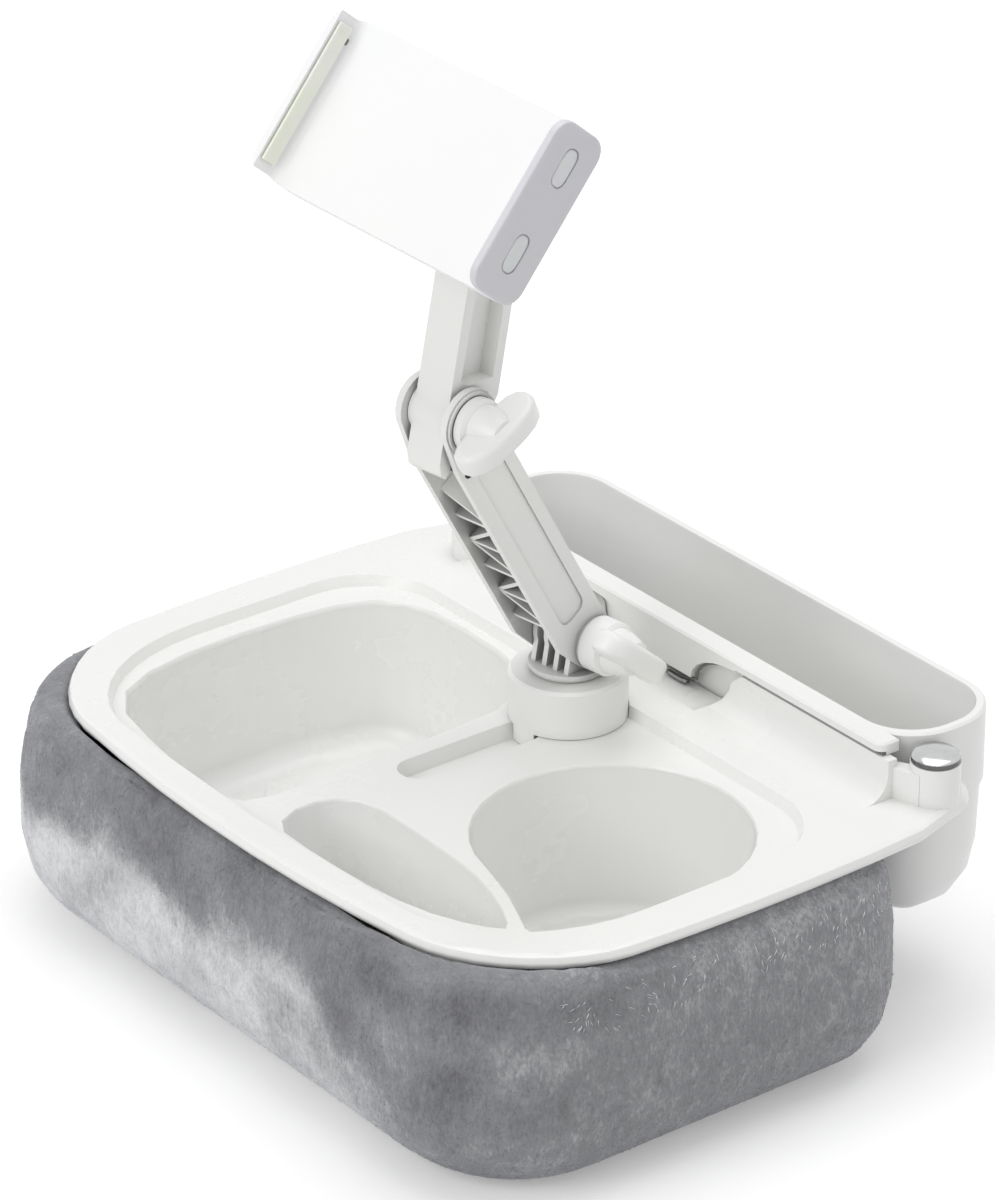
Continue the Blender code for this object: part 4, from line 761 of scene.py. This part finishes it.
def inflate(pad, pressure, limit):
    """Lets the filling push the cover out, up to a limit, and leaves the result in the mesh."""
    rest = points_of(pad.data)
    held = pad.vertex_groups.new(name="held")
    held.add([i for i, p in enumerate(rest) if room_outside(p, 1.0) < 0.5], 1.0, "REPLACE")
    cloth = pad.modifiers.new("filling", "CLOTH")
    settings = cloth.settings
    settings.vertex_group_mass = held.name
    settings.quality = 4
    settings.mass = 0.3
    settings.tension_stiffness = 18
    settings.compression_stiffness = 12
    settings.shear_stiffness = 6
    settings.bending_stiffness = 0.6
    settings.use_pressure = True
    settings.uniform_pressure_force = pressure
    settings.effector_weights.gravity = 0
    cloth.collision_settings.use_collision = False
    cloth.collision_settings.use_self_collision = False
    scene = bpy.context.scene
    for step in range(1, SWELL_FRAMES + 1):
        scene.frame_set(step)
    graph = bpy.context.evaluated_depsgraph_get()
    swollen = pad.evaluated_get(graph).to_mesh()
    after = points_of(swollen)
    pad.modifiers.clear()
    pad.vertex_groups.clear()
    scene.frame_set(1)
    move = after - rest
    far = np.linalg.norm(move, axis=1)
    scale = np.where(far > limit, limit / np.maximum(far, 1e-9), 1.0)
    put_points(pad.data, rest + move * scale[:, None])


def remesh(piece, size):
    net = piece.modifiers.new("net", "REMESH")
    net.mode = "VOXEL"
    net.voxel_size = size
    return settle(piece)


class TABLETSTAND_OT_cushion(bpy.types.Operator):
    """Builds the plush pad: its solid's form taken in, inflated as cloth and held clear of its neighbours"""
    bl_idname = "tabletstand.cushion"
    bl_label = "Plush cushion"

    def execute(self, context):
        props = context.scene.stand_cushion
        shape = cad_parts["cushion"].data.copy()
        form = bmesh.new()
        form.from_mesh(shape)
        bmesh.ops.remove_doubles(form, verts=form.verts, dist=1e-6)
        form.to_mesh(shape)
        solid = tree_of(form)
        pad = put_in_scene("plush_cushion", shape)
        pad.data.materials.clear()
        remesh(pad, props.voxel)
        if len(pad.data.vertices) < LEAST_POINTS:
            fail("the cushion's net came out too coarse")
        grow(pad.data, -props.shrink)
        inflate(pad, props.pressure, props.swell_limit)
        even = pad.modifiers.new("even", "SMOOTH")
        even.factor = 0.5
        even.iterations = 3
        finer = pad.modifiers.new("finer", "SUBSURF")
        finer.levels = finer.render_levels = 1
        settle(pad)
        points, normals = points_of(pad.data), normals_of(pad.data)
        for i, p in enumerate(points):
            hollow = HOLLOWS[0] * noise.noise(Vector(p) * HOLLOWS[1])
            clump = CLUMPS[0] * noise.noise(Vector(p) * CLUMPS[1])
            points[i] += normals[i] * (hollow + clump - COVER_DROP)
        rim = bmesh.new()
        rim.from_mesh(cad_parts["tray"].data)
        points = hold_in_place(points, solid, tree_of(rim), props.proud, props.sink)
        put_points(pad.data, points)
        store_nap_and_light(pad, nap_and_light_at(points))
        shade_smooth(pad.data)
        pad.data.materials.append(plush("plush_pile", props))
        pad.data.materials.append(woven("base_cloth", scaled(props.pile_colour, 0.75)))
        for face in pad.data.polygons:
            if face.normal.z < BASE_CLOTH_SLOPE and face.center.z < BASE_CLOTH_TOP:
                face.material_index = 1
        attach(pad, "base")
        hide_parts("cushion")
        return {"FINISHED"}


def kept_bare(centre, facing):
    """Where no tuft stands: under the tray's rim, in the well, on the bottom and behind the caddy."""
    x, y, z = centre.T
    half, front, depth = RIM_KEEP_OUT
    under_rim = (np.abs(x) < half) & (y > front) & (z > PAD_TOP - depth)
    half, front, rear = WELL_KEEP_OUT
    inward = facing[:, 0] * x + facing[:, 1] * (y - WELL_MIDDLE_Y) < 0
    in_well = inward & (np.abs(x) < half) & (y > front) & (y < rear)
    bottom = (facing[:, 2] < DOWNWARD) | (z < FOOT_KEEP_OUT)
    return under_rim | in_well | bottom | (y > REAR_KEEP_OUT)


def unit(rows):
    return rows / np.linalg.norm(rows, axis=1)[:, None]


def tufts(root, out, comb, length, lift, width):
    """Closed four-pointed tufts: two points at the root, a belly just above it and a tip."""
    across = np.cross(out, comb) * width[:, None]
    base = root - out * TUFT_ROOT
    along, above = TUFT_BELLY
    belly = root + comb * (length * along)[:, None] + out * (length * above)[:, None]
    tip = root + comb * (length * np.cos(lift))[:, None] + out * (length * np.sin(lift) * TUFT_RISE)[:, None]
    verts = np.stack([base - across, base + across, belly, tip], axis=1)
    start = np.arange(len(root))[:, None] * 4
    pattern = np.array([[0, 1, 2], [0, 2, 3], [2, 1, 3], [1, 0, 3]])
    faces = (start[:, :, None] + pattern[None]).reshape(-1, 3)
    return new_piece("plush_tufts", verts.reshape(-1, 3), faces.tolist(), smooth=False)


class TABLETSTAND_OT_pile(bpy.types.Operator):
    """Sets fine closed tufts over the cushion's outer walls, combed the way the nap lies"""
    bl_idname = "tabletstand.pile"
    bl_label = "Plush tufts"

    def execute(self, context):
        props = context.scene.stand_cushion
        pad = bpy.data.objects.get("plush_cushion")
        if pad is None:
            fail("the tufts need the cushion first")
        mesh = pad.data
        mesh.calc_loop_triangles()
        points, normals = points_of(mesh), normals_of(mesh)
        corners = np.array([t.vertices for t in mesh.loop_triangles])
        a, b, c = points[corners[:, 0]], points[corners[:, 1]], points[corners[:, 2]]
        area = np.linalg.norm(np.cross(b - a, c - a), axis=1) / 2
        facing = normals[corners].mean(axis=1)
        area[kept_bare((a + b + c) / 3, facing)] = 0
        if area.sum() <= 0:
            fail("no wall is left for the tufts")
        source = np.random.default_rng(7)
        count = props.pile_count
        picked = source.choice(len(area), size=count, p=area / area.sum())
        u, v = source.random(count), source.random(count)
        over = u + v > 1
        u[over], v[over] = 1 - u[over], 1 - v[over]
        root = a[picked] + (b - a)[picked] * u[:, None] + (c - a)[picked] * v[:, None]
        out = unit(facing[picked])
        nap = nap_and_light_at(root)
        scale, swing, stray = TUFT_TURN
        swirl = np.array([noise.noise(Vector(p) * scale) for p in root])
        turn = swirl * swing + source.normal(0, stray, count)
        down = np.tile(np.array([0.0, 0.0, -1.0]), (count, 1)) + 1e-3
        lay = unit(down - out * (down * out).sum(axis=1)[:, None])
        comb = lay * np.cos(turn)[:, None] + np.cross(out, lay) * np.sin(turn)[:, None]
        length = props.pile_length * (TUFT_LENGTH[0] + TUFT_LENGTH[1] * source.random(count))
        low, high = CURL_BAND
        curled = (root[:, 0] > CURL_X) & (root[:, 1] > CURL_FROM) & (root[:, 2] > low) & (root[:, 2] < high)
        curled &= source.random(count) < CURL_SHARE
        length[curled] *= CURL_LENGTH
        nap[curled] = CURL_NAP
        lift = TUFT_LIFT[0] + TUFT_LIFT[1] * source.random(count)
        width = TUFT_WIDTH[0] + TUFT_WIDTH[1] * source.random(count)
        pile = tufts(root, out, comb, length, lift, width)
        store_nap_and_light(pile, np.repeat(nap, 4))
        pile.data.materials.append(plush("plush_tuft_tips", props, tufts=True))
        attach(pile, "base")
        return {"FINISHED"}


# The mouldings

class TABLETSTAND_OT_tray(bpy.types.Operator):
    """Finishes the tray, its arm socket and the caddy in glossy white moulding"""
    bl_idname = "tabletstand.tray"
    bl_label = "Tray and caddy"

    def execute(self, context):
        props = context.scene.stand_moulding
        white = tuple(props.tray_white)
        wear(moulded("tray_gloss_white", white, props.gloss), "tray")
        caddy = moulded("caddy_gloss_white", scaled(white, 0.99), props.gloss + 0.03, 0.012, 0.10, 0.8)
        wear(caddy, "caddy")
        wear(moulded("socket_white", scaled(white, 1.01), props.gloss + 0.05), "arm_socket")
        return {"FINISHED"}


def seam_route():
    """The strip's line: along the flange, down the apron's curve and on to the clip."""
    route = [(x, SEAM_Y, SEAM_Z) for x in SEAM_X]
    for k in range(APRON_STEPS + 1):
        turn = math.pi / 2 * k / APRON_STEPS
        route.append((APRON_TOP_X - (APRON_TOP_X - APRON_FOOT_X) * math.sin(turn), SEAM_Y,
                      SEAM_Z - (SEAM_Z - APRON_FOOT_Z) * (1 - math.cos(turn))))
    route += [(x, SEAM_Y, APRON_FOOT_Z - STRIP_DROP) for x in (APRON_FOOT_X - STRIP_TURN, CLIP_X[0])]
    return route


def clip_route():
    near, far = CLIP_X
    return [(near + (far - near) * k / CLIP_STEPS, SEAM_Y - CLIP_OUT,
             APRON_FOOT_Z - CLIP_DROP - CLIP_SAG * math.sin(math.pi * k / CLIP_STEPS))
            for k in range(CLIP_STEPS + 1)]


class TABLETSTAND_OT_seam(bpy.types.Operator):
    """Lays a thin dark strip along the caddy's flange and its hook apron, and a dark clip at its end: painted
    shade for the seam's shadow gap
    """
    bl_idname = "tabletstand.seam"
    bl_label = "Caddy seam"

    def execute(self, context):
        grey = tuple(context.scene.stand_metal.clip_grey)
        # Painted shade: a dark strip in the seam's shadow gap and a dark clip at the notch's open end.
        strip = sweep("seam_strip", seam_route(), round_outline(STRIP_RADIUS, 10))
        strip.data.materials.append(silicone("strip_grey", scaled(grey, 0.9), 0.55, 0.0))
        clip = sweep("apron_clip", clip_route(), round_outline(CLIP_RADIUS, 12, CLIP_FLATNESS))
        clip.data.materials.append(turned_metal("clip_metal", scaled(grey, 1.6), 0.35))
        for piece in (strip, clip):
            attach(piece, "base")
        return {"FINISHED"}


class TABLETSTAND_OT_arm(bpy.types.Operator):
    """Finishes the turntable and the two links in satin white moulding"""
    bl_idname = "tabletstand.arm"
    bl_label = "Folding arm"

    def execute(self, context):
        props = context.scene.stand_moulding
        white, satin = tuple(props.arm_white), props.satin
        # The turntable and lower arm take strong painted shade in their hollows and truss openings.
        turntable = moulded("turntable_satin", white, satin, rubbed=0.9, shadow=0.45, reach=0.009)
        wear(turntable, "turntable")
        lower = moulded("lower_arm_satin", white, satin - 0.03, 0.015, rubbed=0.9, shadow=0.42, reach=0.020)
        wear(lower, "lower_arm")
        wear(moulded("upper_arm_satin", scaled(white, 0.985), satin, 0.015, rubbed=0.9), "upper_arm")
        wear(moulded("tilt_head_satin", white, satin + 0.03), "tilt_head")
        return {"FINISHED"}


class TABLETSTAND_OT_knobs(bpy.types.Operator):
    """Finishes the wing knobs and the slotted nut caps, rubbed smooth by the fingers"""
    bl_idname = "tabletstand.knobs"
    bl_label = "Knobs and nut caps"

    def execute(self, context):
        props = context.scene.stand_moulding
        white = scaled(props.tray_white, 1.02)
        knob = moulded("knob_white", white, props.gloss + 0.06, 0.03, coat=0.10, rubbed=1.0)
        wear(knob, "lower_wing_knob", "elbow_wing_knob", "head_wing_knob")
        cap = moulded("nut_cap_white", white, props.gloss + 0.10)
        wear(cap, "lower_nut_cap", "elbow_nut_cap", "head_nut_cap")
        return {"FINISHED"}


class TABLETSTAND_OT_holder(bpy.types.Operator):
    """Finishes the holder's plate, cover, soft pads and lavender sliding jaw"""
    bl_idname = "tabletstand.holder"
    bl_label = "Tablet holder"

    def execute(self, context):
        props = context.scene.stand_moulding
        plate, lavender, ivory = tuple(props.holder_white), tuple(props.jaw_lavender), tuple(props.lip_ivory)
        wear(moulded("holder_plate_white", plate, 0.46, 0.015, rubbed=0.6), "clamp_body")
        wear(moulded("holder_cover_white", scaled(plate, 0.97), 0.42, 0.02), "clamp_cover")
        wear(moulded("jaw_lavender", lavender, 0.52, 0.03, rubbed=0.8, soft=0.15), "sliding_jaw")
        wear(silicone("lip_pad_ivory", ivory, 0.46), "lip_pad")
        wear(silicone("jaw_pad_ivory", ivory, 0.50), "jaw_pad")
        grip = silicone("grip_clear", scaled(lavender, 1.22), 0.34, 0.25)
        for number, up in enumerate(DIMPLES_UP, 1):
            seat = holder_point(JAW_FACE - DIMPLE_DEPTH, DIMPLE_OUT, up)
            name = "jaw_grip_%d" % number
            inlay = dome(name, seat, HOLDER_ACROSS, HOLDER_UP, DIMPLE_HALF, DIMPLE_DEPTH, 3.0)
            inlay.data.materials.append(grip)
            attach(inlay, "jaw")
        pin = dome("lip_pin", holder_point(LIP_INSIDE, *LIP_PIN), HOLDER_ACROSS, HOLDER_UP,
                   (LIP_PIN_RADIUS, LIP_PIN_RADIUS), LIP_PIN_RADIUS * 0.5, steps=16)
        pin.data.materials.append(turned_metal("pin_dull", tuple(context.scene.stand_metal.clip_grey), 0.42))
        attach(pin, "clamp")
        return {"FINISHED"}


# The metal

class TABLETSTAND_OT_metal(bpy.types.Operator):
    """Finishes the plated cap, bolts, rods, springs, screws and the blackened stop pin"""
    bl_idname = "tabletstand.metal"
    bl_label = "Metal pieces"

    def execute(self, context):
        props = context.scene.stand_metal
        steel = tuple(props.steel)
        wear(plated("cap_chrome", tuple(props.chrome), 0.16), "post_cap")
        bolt = turned_metal("bolt_steel", steel, 0.30)
        wear(bolt, "lower_bolt", "elbow_bolt", "head_bolt", "swivel_axle", "swivel_screw")
        rod = turned_metal("rod_ground_steel", scaled(steel, 1.2), 0.16, (12.0, 1.0, 1.0))
        wear(rod, "guide_rod_1", "guide_rod_2")
        wire = turned_metal("spring_wire", scaled(steel, 0.9), 0.24)
        for number in (1, 2):
            node = "jaw_spring_%d" % number
            coil = put_in_scene("jaw_coil_%d" % number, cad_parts[node].data.copy())
            round_off(coil.data)
            coil.data.materials.clear()
            coil.data.materials.append(wire)
            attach(coil, "clamp")
            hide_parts(node)
            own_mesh(coil)
        nickel = turned_metal("screw_nickel", scaled(steel, 1.1), 0.26)
        wear(nickel, "cover_screw_1", "cover_screw_2", "cover_screw_3", "cover_screw_4")
        wear(turned_metal("stop_pin_black", (0.035, 0.035, 0.036), 0.40), "stop_pin")
        wear(moulded("washer_nylon", (0.76, 0.76, 0.72), 0.48, 0.04), "swivel_washer")
        return {"FINISHED"}


# The stage

def seen_by(nodes, links, rays, others_see, these_see):
    """Two shaders in one: the rays of the named kinds meet the second, and all others the first."""
    path = nodes.new("ShaderNodeLightPath")
    these = path.outputs[rays[0]]
    for ray in rays[1:]:
        these = maths(nodes, links, "MAXIMUM", these, path.outputs[ray])
    choose = nodes.new("ShaderNodeMixShader")
    links.new(these, choose.inputs["Fac"])
    links.new(others_see, choose.inputs[1])
    links.new(these_see, choose.inputs[2])
    return choose.outputs["Shader"]


def floor_material(colour):
    """Matt floor whose own white, seen by the camera and in gloss, grows away from the object."""
    made, nodes, links, shader, place = blank_material("studio_floor")
    shader.inputs["Base Color"].default_value = (*colour, 1)
    shader.inputs["Roughness"].default_value = 0.9
    shader.inputs["Specular IOR Level"].default_value = 0.1
    reach = nodes.new("ShaderNodeVectorMath")
    reach.operation = "LENGTH"
    links.new(place, reach.inputs[0])
    glow = nodes.new("ShaderNodeEmission")
    strength = spread(nodes, links, reach.outputs["Value"], NEAR_GLOW, FAR_GLOW, GLOW_REACH)
    links.new(strength, glow.inputs["Strength"])
    both = nodes.new("ShaderNodeAddShader")
    links.new(shader.outputs["BSDF"], both.inputs[0])
    links.new(glow.outputs["Emission"], both.inputs[1])
    rays = ("Is Camera Ray", "Is Glossy Ray")
    surface = seen_by(nodes, links, rays, shader.outputs["BSDF"], both.outputs["Shader"])
    links.new(surface, nodes["Material Output"].inputs["Surface"])
    return made


def lay_floor(props):
    verts = [(0, 0, 0)]
    for ring in (0.5, 1.0):
        radius = props.floor_radius * ring
        for k in range(FLOOR_EDGES):
            turn = math.tau * k / FLOOR_EDGES
            verts.append((radius * math.cos(turn), radius * math.sin(turn), 0))
    faces = []
    for k in range(FLOOR_EDGES):
        near, after = 1 + k, 1 + (k + 1) % FLOOR_EDGES
        faces += [(0, near, after), (near, near + FLOOR_EDGES, after + FLOOR_EDGES, after)]
    floor = new_piece("studio_floor", verts, faces)
    floor.data.materials.append(floor_material(props.floor_colour))


def surround(scene, ambient):
    """Even light all round, and plain white wherever the camera looks past the floor."""
    world = bpy.data.worlds.new("studio")
    scene.world = world
    world.use_nodes = True
    nodes, links = world.node_tree.nodes, world.node_tree.links
    soft, white = nodes["Background"], nodes.new("ShaderNodeBackground")
    for light, strength in ((soft, ambient), (white, 1.0)):
        light.inputs["Color"].default_value = (1, 1, 1, 1)
        light.inputs["Strength"].default_value = strength
    rays = ("Is Camera Ray", "Is Glossy Ray", "Is Transmission Ray")
    surface = seen_by(nodes, links, rays, soft.outputs["Background"], white.outputs["Background"])
    links.new(surface, nodes["World Output"].inputs["Surface"])


def area_light(name, at, width, power):
    data = bpy.data.lights.new(name, "AREA")
    data.shape = "RECTANGLE"
    data.size = data.size_y = width
    data.energy = power
    made = put_in_scene(name, data)
    made.location = at
    made.rotation_euler = (Vector(LIT_POINT) - Vector(at)).to_track_quat("-Z", "Y").to_euler()


def photo_camera(scene, focal_length):
    lens = bpy.data.cameras.new("photo_view")
    lens.sensor_fit = "HORIZONTAL"
    lens.sensor_width = SENSOR
    lens.lens = focal_length
    lens.clip_start = 0.05
    lens.clip_end = 50
    camera = put_in_scene("photo_view", lens)
    turned = Matrix((LOOK_RIGHT, LOOK_UP, LOOK_BACK)).transposed().to_4x4()
    camera.matrix_world = Matrix.Translation(EYE) @ turned
    scene.camera = camera


class TABLETSTAND_OT_stage(bpy.types.Operator):
    """Sets the pale floor, the soft studio light, the white surroundings and the camera"""
    bl_idname = "tabletstand.stage"
    bl_label = "Stage, light and camera"

    def execute(self, context):
        scene = context.scene
        props = scene.stand_stage
        lay_floor(props)
        surround(scene, props.ambient)
        for name, at, width, power in LIGHTS:
            area_light(name, at, width, getattr(props, power))
        photo_camera(scene, props.lens)
        scene.view_settings.view_transform = "Standard"
        return {"FINISHED"}


class TABLETSTAND_PT_panel(bpy.types.Panel):
    """Lists the stand's pieces and their settings"""
    bl_idname = "TABLETSTAND_PT_panel"
    bl_label = "Tablet cushion stand"
    bl_space_type = "VIEW_3D"
    bl_region_type = "UI"
    bl_category = "Stand"

    def draw(self, context):
        scene = context.scene
        for props, steps in ((scene.stand_cushion, CUSHION_STEPS), (scene.stand_moulding, MOULDING_STEPS),
                             (scene.stand_metal, METAL_STEPS), (scene.stand_stage, STAGE_STEPS)):
            group = self.layout.box()
            for name in props.__annotations__:
                group.prop(props, name)
            for step in steps:
                group.operator(step.bl_idname)


CUSHION_STEPS = (TABLETSTAND_OT_cushion, TABLETSTAND_OT_pile)
MOULDING_STEPS = (TABLETSTAND_OT_tray, TABLETSTAND_OT_seam, TABLETSTAND_OT_arm, TABLETSTAND_OT_knobs,
                  TABLETSTAND_OT_holder)
METAL_STEPS = (TABLETSTAND_OT_metal,)
STAGE_STEPS = (TABLETSTAND_OT_stage,)
STEPS = CUSHION_STEPS + MOULDING_STEPS + METAL_STEPS + STAGE_STEPS
GROUPS = (("stand_cushion", CushionProps), ("stand_moulding", MouldingProps), ("stand_metal", MetalProps),
          ("stand_stage", StageProps))


def register():
    for name, group in GROUPS:
        bpy.utils.register_class(group)
        setattr(bpy.types.Scene, name, PointerProperty(type=group))
    for step in STEPS + (TABLETSTAND_PT_panel,):
        bpy.utils.register_class(step)


def unregister():
    for step in (TABLETSTAND_PT_panel,) + STEPS[::-1]:
        bpy.utils.unregister_class(step)
    for name, group in GROUPS[::-1]:
        delattr(bpy.types.Scene, name)
        bpy.utils.unregister_class(group)


def main():
    register()
    bpy.ops.tabletstand.stage()
    bpy.ops.tabletstand.cushion()
    bpy.ops.tabletstand.pile()
    bpy.ops.tabletstand.tray()
    bpy.ops.tabletstand.seam()
    bpy.ops.tabletstand.arm()
    bpy.ops.tabletstand.knobs()
    bpy.ops.tabletstand.holder()
    bpy.ops.tabletstand.metal()


if __name__ == "__main__":
    main()
